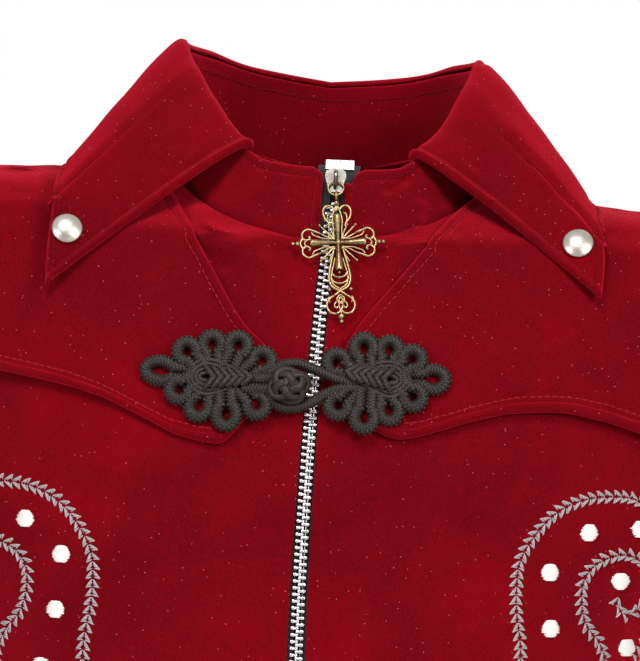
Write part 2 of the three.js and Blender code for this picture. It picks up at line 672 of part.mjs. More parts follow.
// The flap is cut from a sheet that follows the front, to its outline as it is seen from the front.
const armholeAt = (z) => along(armholeTable, z, "front") - 2.5;
function flapOutline({ name, side }) {
  const across = (x, z) => new THREE.Vector2(side * x + along(leanTable, z, "body"), z);
  return new THREE.Shape([
    ...even(8, flapOpening[0].z, 8).map((z) => across(along(flapOpening, z, name), z)),
    across(armholeAt(-shoulderDrop), 8),
    ...even(6, -shoulderDrop, -96).map((z) => across(armholeAt(z), z)),
    ...even(12, armholeAt(-112), 9).map((x) => across(x, along(flapHem, x, name, "x"))),
  ]);
}
const flapFrom = bodyHeights.findIndex((z) => z > -150);
for (const part of sides) {
  const { name, side } = part;
  const bed = sided(part.front.slice(flapFrom), side);
  const lift = (r, c) => {
    const out = side > 0 ? c : 1 - c;
    return 2.5 * (1 - smooth(0, 0.3, r)) * smooth(0.45, 0.8, out) + 0.5 * smooth(0.75, 0.95, out);
  };
  const from = (r, c) => clothThickness + layerGap + lift(r, c);
  const outline = new THREE.ExtrudeGeometry(flapOutline(part), { depth: 300, bevelEnabled: false });
  const sheet = solidOf(wall(bed, from, (r, c) => from(r, c) + flapThickness));
  const flap = sheet.intersect(solidOf(outline.rotateX(Math.PI / 2).translate(0, 100, 0)));
  const sleeve = sleeveGrid(side);
  const rooms = [...part.swollen];
  for (const cut of sleeveCuts) {
    const geometry = trimmed(sleeveCut(sleeve, cut, side), ...rooms);
    piece(`${cut.name}_${name}`, geometry, velvet);
    rooms.push(movedAbout(solidOf(geometry), seamGap * 0.6));
  }
  const sleeveRoom = swollen(sleeve, 0, clothThickness, true);
  piece(`flap_${name}`, trimmed(geometryOf(flap), part.room[0], sleeveRoom), velvet);
}

// ---------------------------------------------------------------- zip
const zipTop = -13.2;
const chainTop = -27.2;
const tapeWidth = 11.4;
const chainWidth = 5.7;
// Rows up the zip on the same heights as the fronts; between them the zip is straight, as they are.
const zipHeights = bodyHeights.filter((z) => z < -neckFrontDrop - 1).map((z, i) => (i ? z : frontHem.centre));
const bandRows = [
  ...zipHeights.map((z) => ({ z, y: formPoint(0.02, z, 1).y })),
  { z: -neckFrontDrop, y: -neckFrontDepth },
  { z: -15.5, y: -foldFrontDepth },
  { z: -5, y: -foldFrontDepth + 3.7 },
];
function frontLine(z) {
  const i = Math.max(bandRows.findIndex((row) => row.z >= z), 1);
  const [low, high] = [bandRows[i - 1], bandRows[i]];
  return mix(low.y, high.y, (z - low.z) / (high.z - low.z));
}
function zipGrid(heights, offsets) {
  return heights.map((z) => offsets.map((x) => vector(zipLine(z) + x, frontLine(z), z)));
}
const tapeHeights = [...zipHeights, -neckFrontDrop - 2, -40, chainTop, zipTop];
const tapeInset = (r) => -0.7 - 1.6 * smooth(0.7, 0.85, r);
for (const { name, side } of sides) {
  const grid = tapeHeights.map((z) => {
    const inner = mix(1.4, 2.4, smooth(-28, -12, z));
    const edges = [inner, tapeWidth - 3 * smooth(-50, -38, z)].map((x) => side * x + zipLine(z));
    return (side > 0 ? edges : edges.reverse()).map((x) => vector(x, frontLine(z), z));
  });
  piece(`zip_tape_${name}`, wall(grid, (r) => tapeInset(r) - 0.8, tapeInset), tape);
}
const halfChain = chainWidth / 2;
const chainHeights = [frontHem.centre + 9, ...zipHeights.slice(1), -neckFrontDrop, chainTop];
piece("zip_chain", wall(zipGrid(chainHeights, [-halfChain, halfChain]), -0.3, 1.5), zipMetal);

// A frame standing on the zip at height z: its own Z runs up the zip and -Y points away from the coat.
function zipFrame(z, across) {
  const frame = new THREE.Group();
  frame.position.set(zipLine(z) + across, frontLine(z), z);
  frame.rotation.x = Math.atan2(frontLine(z - 1) - frontLine(z + 1), 2);
  coat.add(frame);
  return frame;
}
function inFrame(frame, name, geometry, material) {
  const mesh = new THREE.Mesh(geometry, material);
  mesh.name = name;
  frame.add(mesh);
  return mesh;
}
const block = (width, depth, height, x, y, z) =>
  new THREE.BoxGeometry(width, depth, height).translate(x, y, z);

const stop = { width: 5.6, depth: 3, height: 4, lip: 1, middle: 2.7 };
for (const { name, side } of sides) {
  const frame = zipFrame(-13.3, side * (stop.width / 2 + 0.15));
  const clip = solidOf(block(stop.width, stop.depth, stop.height, 0, stop.middle, 0));
  const slot = solidOf(block(stop.width, 1.5, stop.height, side * 0.8, stop.middle, -stop.lip));
  inFrame(frame, `zip_stop_${name}`, geometryOf(clip.subtract(slot)), zipMetal);
}
const boxFrame = zipFrame(frontHem.centre + 8, 0);
inFrame(boxFrame, "zip_box", block(6.6, 1.9, 6.5, 0, -0.8, -3.6), zipMetal);

const slider = { width: 8.6, length: 10.4, plate: 1.1 };
const sliderFrame = zipFrame(-21.3, 0);
const shield = new THREE.Shape([
  new THREE.Vector2(-2.6, -slider.length / 2),
  new THREE.Vector2(2.6, -slider.length / 2),
  new THREE.Vector2(3.4, -1.5),
  new THREE.Vector2(slider.width / 2, 1.6),
  new THREE.Vector2(slider.width / 2 - 0.4, 3.9),
  new THREE.Vector2(1.5, slider.length / 2),
  new THREE.Vector2(-1.5, slider.length / 2),
  new THREE.Vector2(-slider.width / 2 + 0.4, 3.9),
  new THREE.Vector2(-slider.width / 2, 1.6),
  new THREE.Vector2(-3.4, -1.5),
]);
const plateAt = (y) =>
  new THREE.ExtrudeGeometry(shield, { depth: slider.plate, bevelEnabled: false })
    .rotateX(Math.PI / 2)
    .translate(0, y, 0);
const bridge = rod(
  [vector(0, -2.6, 3.4), vector(0, -5.6, 3), vector(0, -6.6, 1.6), vector(0, -6.6, -1), vector(0, -5.2, -2.6),
    vector(0, -2.6, -3.4)],
  0.75, 6, 12,
);
inFrame(
  sliderFrame,
  "zip_slider",
  joined([plateAt(-2.1), plateAt(4.7), block(1.9, 7.2, 1.6, 0, 0.9, 4.1), bridge]),
  zipMetal,
);

// ---------------------------------------------------------------- cross pull on its ring
const pivot = { y: -4.7, z: -1 };
const ringRadius = 3.1;
const pullLean = 4.5 * deg;
const pullTilt = -3.6 * deg;
const pull = new THREE.Group();
pull.position.set(0, pivot.y, pivot.z);
pull.rotation.set(pullTilt, -pullLean, 0);
sliderFrame.add(pull);
const ring = new THREE.TorusGeometry(ringRadius, 0.45, 4, 16).rotateX(Math.PI / 2);
inFrame(pull, "pull_ring", ring.translate(0, 0, -ringRadius), oldBrass);

const cross = { centre: -27.4, bail: -6.7 };
const flat = (points) => points.map(([x, z]) => vector(x, 0, z));
const turned = (points, quarter) =>
  points.map(([x, z]) => {
    const angle = (quarter * Math.PI) / 2;
    return [x * Math.cos(angle) - z * Math.sin(angle), x * Math.sin(angle) + z * Math.cos(angle)];
  });
const mirrored = (points) => points.map(([x, z]) => [x, -z]);
const armScroll = [[7.8, 1], [9, 4.8], [11.6, 6.3], [14, 5], [14.2, 2.4], [13.4, 0.4]];
const teardrop = [[1.6, -6.4], [3.6, -10.8], [4.5, -15.2], [3.3, -19.6], [0, -22.2]];
const footScroll = [[0.2, -22], [3.6, -23.6], [6.4, -26.8], [6, -30], [3.6, -30.8], [2.6, -28.9]];
const crescent = (low, wide) => [[-wide, low + 1.8], [0, low], [wide, low + 1.8]];
const wire = 0.58;
const parts = [];
for (const quarter of [0, 1, 2]) {
  for (const path of [armScroll, mirrored(armScroll)]) {
    parts.push(rod(flat(turned(path, quarter)), wire, 4, 5));
  }
  parts.push(rod(flat(turned([[13.4, 0], [17.4, 0]], quarter)), 0.7, 4, 1));
  parts.push(rod(flat(turned([[7, 0], [13.8, 0]], quarter)), 0.8, 4, 1));
}
for (const [x, z] of [[16.4, 0], [18.2, 0], [-16.4, 0], [-18.2, 0], [0, 16.2], [0, -34.4], [0, -19]]) {
  parts.push(ball(vector(x, 0, z), 0.95));
}
const baluster = (length) => new THREE.CylinderGeometry(1.75, 0.95, length, 6).translate(0, length / 2, 0);
parts.push(baluster(10.8).rotateX(Math.PI / 2));
parts.push(baluster(10.8).rotateX(-Math.PI / 2));
parts.push(baluster(10.8).rotateZ(-Math.PI / 2));
parts.push(baluster(10.8).rotateZ(Math.PI / 2));
parts.push(ball(vector(0, 0, 0), 1.9));
for (const x of [-1, 1]) {
  for (const z of [-1, 1]) {
    parts.push(rod(flat([[x, z], [7.9 * x, 7.9 * z]]), 0.75, 4, 1));
  }
  parts.push(rod(flat(teardrop.map(([a, b]) => [a * x, b])), wire, 4, 6));
  parts.push(rod(flat(footScroll.map(([a, b]) => [a * x, b])), wire, 4, 6));
  parts.push(ball(vector(4.6 * x, 0, -22.9), 0.9));
}
for (const [low, wide] of [[-14.6, 4.2], [-17.2, 4.1]]) parts.push(rod(flat(crescent(low, wide)), 0.5, 4, 4));
parts.push(rod(flat([[0, -10], [0, -34]]), 0.55, 4, 1));
parts.push(rod(flat([[0, 13], [0, cross.bail - 1.6 - cross.centre]]), 0.6, 4, 1));
parts.push(
  new THREE.TorusGeometry(1.7, 0.5, 4, 9).rotateY(Math.PI / 2).translate(0, 0, cross.bail - cross.centre),
);
inFrame(pull, "cross_pull", joined(parts), oldBrass).position.z = cross.centre;

// ---------------------------------------------------------------- braided frog
const cordRadius = 1.75;
const loopRadius = 1.66;
const frogOffset = clothThickness + layerGap + flapThickness + 0.6 + cordRadius;
// A point on the frog's bed over the front, X across the body and z up.
function overFront(x, z, lift = 0) {
  const side = x < 2 ? -1 : 1;
  const fromMiddle = Math.abs(x - along(leanTable, z, "body"));
  const first = above(Math.max(fromMiddle, 8), z, side, frogOffset + lift);
  // the bed is met where its own slope has been allowed for
  return vector(x, above(Math.max(fromMiddle, 8), 2 * z - first.z, side, frogOffset + lift).y, z);
}
function petal(hole, root, halfWidth, halfLength) {
  const axis = new THREE.Vector2(hole[0] - root[0], hole[1] - root[1]).normalize();
  const across = new THREE.Vector2(-axis.y, axis.x);
  const at = (a, b, lift) =>
    overFront(hole[0] + axis.x * a + across.x * b, hole[1] + axis.y * a + across.y * b, lift);
  const path = [
    at(-halfLength - 4.5, -0.6, -0.3),
    at(-halfLength * 0.6, -halfWidth * 0.85, 0),
    at(halfLength * 0.35, -halfWidth, 0),
    at(halfLength, 0, 0.3),
    at(halfLength * 0.35, halfWidth, 0),
    at(-halfLength * 0.6, halfWidth * 0.85, 0),
    at(-halfLength - 4.5, 0.6, -0.3),
  ];
  return rod(path, cordRadius, 4, 6);
}
function oval(middle, half, turn, sides = 12) {
  const bed = overFront(middle[0], middle[1], 0.6);
  const higher = overFront(middle[0], middle[1] + half[1], 0.6);
  return new THREE.SphereGeometry(1, sides, 6)
    .scale(half[0], 2, half[1])
    .rotateY(turn)
    .rotateX(-Math.atan2(higher.y - bed.y, half[1]))
    .translate(bed.x, bed.y, bed.z);
}
// Petals: where each loop's hole lies, where its cord springs from, and the loop's half length.
const frogRight = [
  { hole: [-59.8, -99.9], root: [-48, -101], length: 6.5 },
  { hole: [-49.5, -91.9], root: [-43, -99], length: 4.6 },
  { hole: [-39.7, -88.8], root: [-39, -98], length: 4.6 },
  { hole: [-29.5, -88.7], root: [-33, -98], length: 4.6 },
  { hole: [-19.7, -94.3], root: [-27, -101], length: 4.4 },
  { hole: [-51.8, -106.9], root: [-45, -102], length: 4.2 },
  { hole: [-43.7, -112.9], root: [-40, -103], length: 5 },
  { hole: [-32.9, -115.5], root: [-34, -103], length: 5.4 },
  { hole: [-21.2, -111.5], root: [-28, -104], length: 4.6 },
];
const frogLeft = [
  { hole: [9.9, -93.8], root: [18, -100], length: 4.2 },
  { hole: [20.4, -87.6], root: [22, -98], length: 5 },
  { hole: [30.5, -87.9], root: [29, -97], length: 4.6 },
  { hole: [39.6, -91.1], root: [34, -97], length: 4.6 },
  { hole: [48.1, -98.6], root: [36, -99], length: 6 },
  { hole: [40.4, -105.8], root: [34, -100], length: 4.6 },
  { hole: [31.2, -111.7], root: [29, -102], length: 4.8 },
  { hole: [22.2, -116.3], root: [22, -102], length: 6 },
  { hole: [11.6, -111.3], root: [18, -103], length: 4.4 },
];
const petals = (table) => table.map(({ hole, root, length }) => petal(hole, root, 3.3, length));
const knot = { x: -8.6, z: -103.4, radius: 7 };
const knotAt = overFront(knot.x, knot.z, knot.radius - cordRadius - 0.2);
const strand = (turn) => {
  const ring = new THREE.TorusGeometry(knot.radius - cordRadius, cordRadius, 4, 8);
  return ring.rotateX(70 * deg).rotateY(turn).translate(knotAt.x, knotAt.y, knotAt.z);
};
piece(
  "frog_right",
  joined([
    ...petals(frogRight),
    oval([-39, -101.3], [12.5, 5.2], 2 * deg),
    oval([-24, -102.8], [9, 4], 6 * deg, 8),
    strand(20 * deg), strand(140 * deg), strand(-100 * deg),
    new THREE.SphereGeometry(knot.radius - 1.4, 8, 6).translate(knotAt.x, knotAt.y, knotAt.z),
    rod([overFront(-24, -103, 0.5), overFront(-16, -103.2, 2), overFront(-11, -103.4, 3.5)], 2.6, 6, 4),
  ]),
  braid,
);
piece(
  "frog_left",
  joined([
    ...petals(frogLeft),
    oval([29.5, -99], [11, 5.2], 8 * deg),
    oval([19, -101], [9, 4.4], 10 * deg, 8),
    rod([overFront(14, -98.6, 0), overFront(6, -98.5, 0.2), overFront(0.9, -98.6, 0.4)], loopRadius, 5, 4),
    rod([overFront(14, -104, 0), overFront(6, -105, 0.2), overFront(0.6, -105.6, 0.4)], loopRadius, 5, 4),
    rod([overFront(1.6, -97, 0.4), overFront(1.9, -102, 0.6), overFront(1.2, -107.2, 0.4)], loopRadius, 6, 4),
  ]),
  braid,
);

// ---------------------------------------------------------------- snap caps on the leaf's points
const capRadius = 6.25;
const capProfile = [[0, 0], [6, 0], [capRadius, 0.5], [5.9, 1.2], [4.4, 2], [2.4, 2.5], [0, 2.7]];
const capPlaces = { left: { x: 105, z: -43 }, right: { x: -101, z: -46 } };
const leaf = leafGrid();
for (const { name, side } of sides) {
  const place = capPlaces[name];
  const pointed = leaf.map((row) => (side < 0 ? row.slice(0, 6) : row.slice(-6)));
  const { point, normal } = onPanel(pointed, place.x, place.z, collarThickness + 0.8, 1);
  const profile = capProfile.map(([r, h]) => new THREE.Vector2(r, h));
  const cap = piece(`snap_${name}`, new THREE.LatheGeometry(profile, 12), nickel);
  cap.position.copy(point);
  cap.quaternion.setFromUnitVectors(vector(0, 1, 0), normal);
}

export default coat;
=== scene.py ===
import math

import bpy
import numpy as np
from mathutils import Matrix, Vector


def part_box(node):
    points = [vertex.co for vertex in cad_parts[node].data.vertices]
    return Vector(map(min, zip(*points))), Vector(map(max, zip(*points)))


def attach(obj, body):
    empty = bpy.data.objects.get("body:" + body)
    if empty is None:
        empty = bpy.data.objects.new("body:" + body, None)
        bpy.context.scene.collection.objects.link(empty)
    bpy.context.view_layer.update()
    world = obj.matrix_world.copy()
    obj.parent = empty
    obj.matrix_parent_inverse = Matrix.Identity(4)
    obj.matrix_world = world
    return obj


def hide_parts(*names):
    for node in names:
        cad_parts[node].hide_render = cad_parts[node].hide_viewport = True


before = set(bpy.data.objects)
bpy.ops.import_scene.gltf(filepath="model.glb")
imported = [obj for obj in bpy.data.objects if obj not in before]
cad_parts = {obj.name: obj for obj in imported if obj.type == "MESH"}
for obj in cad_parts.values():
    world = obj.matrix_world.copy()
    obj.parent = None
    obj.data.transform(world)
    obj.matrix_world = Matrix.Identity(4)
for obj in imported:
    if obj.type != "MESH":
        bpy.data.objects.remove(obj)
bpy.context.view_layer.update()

mm = 0.001
deg = math.pi / 180
print("frame loaded")

# camera, lights and room
view = {
    "x": 2.65, "y": -1885, "z": -81.15, "roll": -2.5, "lens": 245.1, "sensor": 36, "near": 0.05, "far": 60
}
camera = bpy.data.objects.new("camera", bpy.data.cameras.new("camera"))
bpy.context.collection.objects.link(camera)
camera.location = (view["x"] * mm, view["y"] * mm, view["z"] * mm)
camera.rotation_euler = (math.pi / 2, view["roll"] * deg, 0)
camera.data.sensor_fit = "VERTICAL"
camera.data.sensor_height = view["sensor"]
camera.data.lens = view["lens"]
camera.data.clip_start, camera.data.clip_end = view["near"], view["far"]
bpy.context.scene.camera = camera

studio = [
    {"name": "overhead", "at": (-0.25, -1.25, 1.35), "aim": (0, 0, -0.08), "size": 0.7, "watts": 22},
    {"name": "frontLeft", "at": (-1.5, -1.8, 0.3), "aim": (0, 0, -0.25), "size": 0.9, "watts": 16},
    {"name": "frontRight", "at": (1.3, -1.9, 0.7), "aim": (0, 0, -0.3), "size": 0.8, "watts": 32},
    {"name": "rear", "at": (0.4, 1.9, 1.1), "aim": (0, 0, -0.3), "size": 1.4, "watts": 18},
]
for light in studio:
    lamp = bpy.data.objects.new(light["name"], bpy.data.lights.new(light["name"], "AREA"))
    lamp.data.shape = "DISK"
    lamp.data.size = light["size"]
    lamp.data.energy = light["watts"]
    lamp.location = light["at"]
    lamp.rotation_euler = (Vector(light["aim"]) - Vector(light["at"])).to_track_quat("-Z", "Y").to_euler()
    bpy.context.collection.objects.link(lamp)
world = bpy.data.worlds.new("paleRoom")
bpy.context.scene.world = world
world.use_nodes = True
backdrop = world.node_tree.nodes["Background"]
backdrop.inputs["Color"].default_value = (1, 1, 1, 1)


def node(tree, kind, **values):
    # a shader node with its settings; underscores stand for the spaces in a socket's name
    made = tree.nodes.new(kind)
    for label, value in values.items():
        if hasattr(made, label):
            setattr(made, label, value)
        else:
            made.inputs[label.replace("_", " ")].default_value = value
    return made


# the room is white to the eye; as a light it is dim, brighter above than below,
# and polished metal sees it brighter
room = {"below": 0.05, "above": 0.34, "low": -0.5, "high": 0.9, "inMetal": 2.4, "seen": 1.0}
roomTree = world.node_tree
join = roomTree.links.new
seen = node(roomTree, "ShaderNodeLightPath")
towards = node(roomTree, "ShaderNodeSeparateXYZ")
join(node(roomTree, "ShaderNodeTexCoord").outputs["Generated"], towards.inputs["Vector"])
height = node(
    roomTree, "ShaderNodeMapRange", From_Min=room["low"], From_Max=room["high"],
    To_Min=room["below"], To_Max=room["above"]
)
join(towards.outputs["Z"], height.inputs["Value"])
metal = node(roomTree, "ShaderNodeMapRange", To_Min=1.0, To_Max=room["inMetal"])
join(seen.outputs["Is Glossy Ray"], metal.inputs["Value"])
lit = node(roomTree, "ShaderNodeMath", operation="MULTIPLY")
join(height.outputs["Result"], lit.inputs[0])
join(metal.outputs["Result"], lit.inputs[1])
white = node(roomTree, "ShaderNodeMix", data_type="FLOAT")
white.inputs["B"].default_value = room["seen"]
join(seen.outputs["Is Camera Ray"], white.inputs["Factor"])
join(lit.outputs["Value"], white.inputs["A"])
join(white.outputs["Result"], backdrop.inputs["Strength"])
bpy.context.scene.view_settings.view_transform = "Standard"


# small mathematics; lengths are in millimetres until a mesh is made
def along(table, column, at, key="z"):
    # smooth curve through a table's rows: cubic pieces, each row's slope the harmonic mean of its neighbours'
    at = np.asarray(at, float)
    x, y = np.asarray(table[key], float), np.asarray(table[column], float)
    if x[0] > x[-1]:
        x, y = x[::-1], y[::-1]
    slope = np.diff(y) / np.diff(x)
    before, after = slope[:-1], slope[1:]
    agree = before * after > 0
    middle = np.where(agree, 2 * before * after / np.where(agree, before + after, 1), 0)
    tangent = np.concatenate([slope[:1], middle, slope[-1:]])
    at = np.clip(at, x[0], x[-1])
    i = np.clip(np.searchsorted(x, at, side="right") - 1, 0, len(x) - 2)
    h = x[i + 1] - x[i]
    t = (at - x[i]) / h
    start, end = 2 * t**3 - 3 * t**2 + 1, 3 * t**2 - 2 * t**3
    pull = (t**3 - 2 * t**2 + t) * h * tangent[i] + (t**3 - t**2) * h * tangent[i + 1]
    return y[i] * start + y[i + 1] * end + pull


def mix(a, b, t):
    # from a to b in a straight line
    return a + (b - a) * t


def smooth(a, b, v):
    # 0 below a, 1 above b and an S between them; the other way round where a is the larger
    t = np.clip((v - a) / (b - a), 0, 1)
    return t * t * (3 - 2 * t)


def bump(v, middle, reach):
    # a bell of height 1
    return np.exp(-(((v - middle) / reach) ** 2))


def unit(v):
    return v / np.maximum(np.linalg.norm(v, axis=-1, keepdims=True), 1e-9)


def ripple(p, size, seed, waves=7):
    # quiet unevenness: the mean of plane waves of about that wavelength in directions drawn from the seed
    draw = np.random.default_rng(seed)
    direction = unit(draw.normal(size=(waves, 3))) * (2 * math.pi / size) * draw.uniform(0.6, 1.5, (waves, 1))
    phase = draw.uniform(0, 2 * math.pi, waves)
    return np.sin(p @ direction.T + phase).sum(axis=-1) / math.sqrt(waves)


def spaced(length, pitch, edges=(True, True)):
    # shares from 0 to 1 about a pitch apart, closer beside a sewn or rolled edge
    close = np.array([0, 0.25, 0.6, 1.1, 1.7, 2.4, 3.1, 3.7, 4.2, 4.7, 5.2, 5.8, 6.6, 7.6])
    low = close[close < length / 2.2] if edges[0] else np.array([0.0])
    high = length - (close[close < length / 2.2] if edges[1] else np.array([0.0]))[::-1]
    count = max(int((high[0] - low[-1]) / pitch), 2)
    return np.concatenate([low[:-1], np.linspace(low[-1], high[0], count), high[1:]]) / length


# the worn form
form = {
    "z": [-985, -800, -620, -540, -470, -410, -350, -300, -250, -215, -180, -140, -100, -70, -46],
    "width": [196, 190, 182, 166, 146, 133, 145, 156, 163, 163, 171, 184, 191, 193, 192],
    "front": [104, 104, 104, 104, 105, 99, 112, 125, 131, 127, 120, 111, 99, 87, 75],
    "back": [150, 140, 128, 112, 88, 74, 82, 92, 101, 106, 108, 105, 98, 89, 80],
}
shoulder = {
    "z": [-37, -34, -32, -30.8, -28, -21, -12, -5, 0], "width": [190, 172, 150, 128, 106, 94, 84, 77, 72]
}
backNeck = {"z": [-46, -30, -14, -7, -2, 0], "depth": [80, 71, 60, 50, 32, 14]}
armhole = {
    "z": [-215, -207, -192, -165, -130, -90, -60, -37],
    "front": [163, 158, 154, 151, 150, 156, 169, 190],
    "back": [163, 161, 160, 159, 158, 162, 173, 190],
}
lean = {
    "z": [-985, -300, -190, -114, -78, -40, -20, -8, 35],
    "body": [0, 0, 0, 1.6, 2.8, 4, 4, 4, 2],
    "zip": [0, -1, -1.2, -1.2, -0.5, 0.8, 2.4, 4.6, 4.6],
}
neck = {"width": 72, "front": 75, "back": 60, "frontDrop": 46, "backDrop": 14}
cut = {
    "power": 2.2, "shoulderDrop": 37, "armpit": 215, "hem": -478, "hemSide": -442, "tail": -985,
    "tailEdge": -930,
}
gap = {"seam": 0.35, "layer": 0.5, "zip": 3.9, "teeth": 0.85}
thick = {"cloth": 1.8, "flap": 2.2, "collar": 2.4}


def frontNeckAngle(z):
    # angle at which the front neck seam, a cosine curve, passes this height
    return np.arccos(np.clip(-z / neck["frontDrop"], 0, 1))


def sectionAt(z):
    # half width, front depth and back depth of the level section; near the neck it passes through the neck
    # seam
    z = np.asarray(z, float)
    width = np.where(z > -cut["shoulderDrop"], along(shoulder, "width", z), along(form, "width", z))
    turn = frontNeckAngle(z)
    share = np.clip(neck["width"] * np.sin(turn) / width, 0, 0.9999) ** cut["power"]
    neckDepth = np.maximum(neck["front"] * np.cos(turn) / (1 - share) ** (1 / cut["power"]), 6)
    front = np.where(z > -neck["frontDrop"], neckDepth, along(form, "front", z))
    back = np.where(z > -46, along(backNeck, "depth", z), along(form, "back", z))
    return width, front, back


def angleAtWidth(x, z):
    # angle of the section at which its half width is x
    return np.arcsin(np.clip(x / sectionAt(z)[0], 0, 1) ** (cut["power"] / 2))


def riseAt(x, z, side):
    # the wearer's right shoulder lies a little higher
    return 8 * smooth(78, 118, x) * smooth(-120, -42, z) if side < 0 else 0 * (x + z)


def fullness(x, z):
    # soft fullness outwards, (front, back): bust and waist folds in front, shoulder blades and tail flutes
    # behind
    flutes = 11 * smooth(-470, -800, z) * np.cos(x / 13.5)
    waist = 2.2 * bump(z, -395, 9) * bump(x, 60, 45) + 1.8 * bump(z, -425, 8) * bump(x, 75, 40)
    back = flutes + waist + 4 * bump(z, -150, 60) * bump(x, 75, 45)
    bust = 15 * bump(z, -242, 52) * bump(x, 84, 46) + 2.4 * bump(z + 0.35 * x, -150, 13) * bump(x, 70, 42)
    waist = 2 * bump(z - 0.2 * x, -400, 9) * bump(x, 80, 40) + 1.6 * bump(z, -432, 8) * bump(x, 60, 35)
    return bust + waist, back


def formAt(angle, z, side):
    # worn form: sections |x / width|^2.2 + |y / depth|^2.2 = 1, angle 0 at centre front, plus fullness and
    # lean
    angle, z = np.broadcast_arrays(np.asarray(angle, float), np.asarray(z, float))
    width, front, back = sectionAt(z)
    isBack = np.cos(angle) < 0
    reach = np.abs(np.cos(angle)) ** (2 / cut["power"])
    x = width * np.abs(np.sin(angle)) ** (2 / cut["power"])
    inFront, behind = fullness(x, z)
    full = smooth(0, 40, -z) * np.where(isBack, behind, inFront)
    y = np.where(isBack, back, -front) * reach + np.where(isBack, full, -full) * np.abs(np.cos(angle))
    across = side * (x + full * np.sin(angle) * 0.5) + along(lean, "body", z)
    return np.stack([across, y, z + riseAt(x, z, side)], axis=-1)


def normalOf(angle, z, side):
    # outward normal of the worn form, from small steps round it and up it
    turned = formAt(angle + 0.004, z, side) - formAt(angle - 0.004, z, side)
    raised = formAt(angle, z + 0.4, side) - formAt(angle, z - 0.4, side)
    return unit(np.cross(turned, raised)) * side


def overForm(x, z, side, offset, isBack=False):
    # the point seen at (x, z) from the front, standing off the form: guess, look, and correct by the miss
    x, z = np.broadcast_arrays(np.asarray(x, float), np.asarray(z, float))
    u, w = np.abs(x - along(lean, "body", z)), np.array(z, float)
    for step in range(10):
        width = sectionAt(w)[0]
        u = np.clip(u, 0, width * 0.9995)
        angle = np.arcsin((u / width) ** (cut["power"] / 2))
        angle = math.pi - angle if isBack else angle
        normal = normalOf(angle, w, side)
        p = formAt(angle, w, side) + normal * np.asarray(offset)[..., None]
        u = u + (x - p[..., 0]) * side * 0.9
        w = w + (z - p[..., 2]) * 0.9
    return p, normal


# meshes
def addMesh(name, points, faceGroups, material, body="coat"):
    # points in millimetres; faceGroups is a list of arrays of faces, each array of one number of corners
    mesh = bpy.data.meshes.new(name)
    corners = np.concatenate([np.asarray(f).ravel() for f in faceGroups]).astype(np.int32)
    sizes = np.concatenate([np.full(len(f), np.asarray(f).shape[1]) for f in faceGroups])
    starts = np.concatenate([[0], np.cumsum(sizes)[:-1]]).astype(np.int32)
    mesh.vertices.add(len(points))
    mesh.vertices.foreach_set("co", (np.asarray(points) * mm).astype(np.float32).ravel())
    mesh.loops.add(len(corners))
    mesh.loops.foreach_set("vertex_index", corners)
    mesh.polygons.add(len(sizes))
    mesh.polygons.foreach_set("loop_start", starts)
    mesh.update(calc_edges=True)
    mesh.polygons.foreach_set("use_smooth", np.full(len(sizes), True))
    mesh.materials.append(material)
    piece = bpy.data.objects.new(name, mesh)
    bpy.context.collection.objects.link(piece)
    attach(piece, body)
    return piece


def gridFaces(rows, columns, closed=False, start=0, flip=False):
    # quads between neighbouring rows and columns of a grid; closed joins the last column to the first
    i, j = np.meshgrid(np.arange(rows - 1), np.arange(columns if closed else columns - 1), indexing="ij")
    a, b = i * columns + j, i * columns + (j + 1) % columns
    quads = np.stack([a, b, b + columns, a + columns], axis=-1).reshape(-1, 4) + start
    return quads[:, ::-1] if flip else quads


def gridNormals(grid, closed=False):
    # unit normals of a grid of points, from its slopes along both ways
    wide = np.concatenate([grid[:, -1:], grid, grid[:, :1]], axis=1) if closed else grid
    across, up = np.gradient(wide, axis=1), np.gradient(wide, axis=0)
    return unit(np.cross(across, up))[:, 1:-1] if closed else unit(np.cross(across, up))


def edgeDistances(grid):
    # distance of each point from the four edges of its grid, measured along the cloth
    columnSteps = np.linalg.norm(np.diff(grid, axis=1), axis=-1)
    rowSteps = np.linalg.norm(np.diff(grid, axis=0), axis=-1)
    across = np.concatenate([np.zeros_like(grid[:, :1, 0]), np.cumsum(columnSteps, axis=1)], axis=1)
    up = np.concatenate([np.zeros_like(grid[:1, :, 0]), np.cumsum(rowSteps, axis=0)], axis=0)
    return {"start": across, "end": across[:, -1:] - across, "bottom": up, "top": up[-1:] - up}


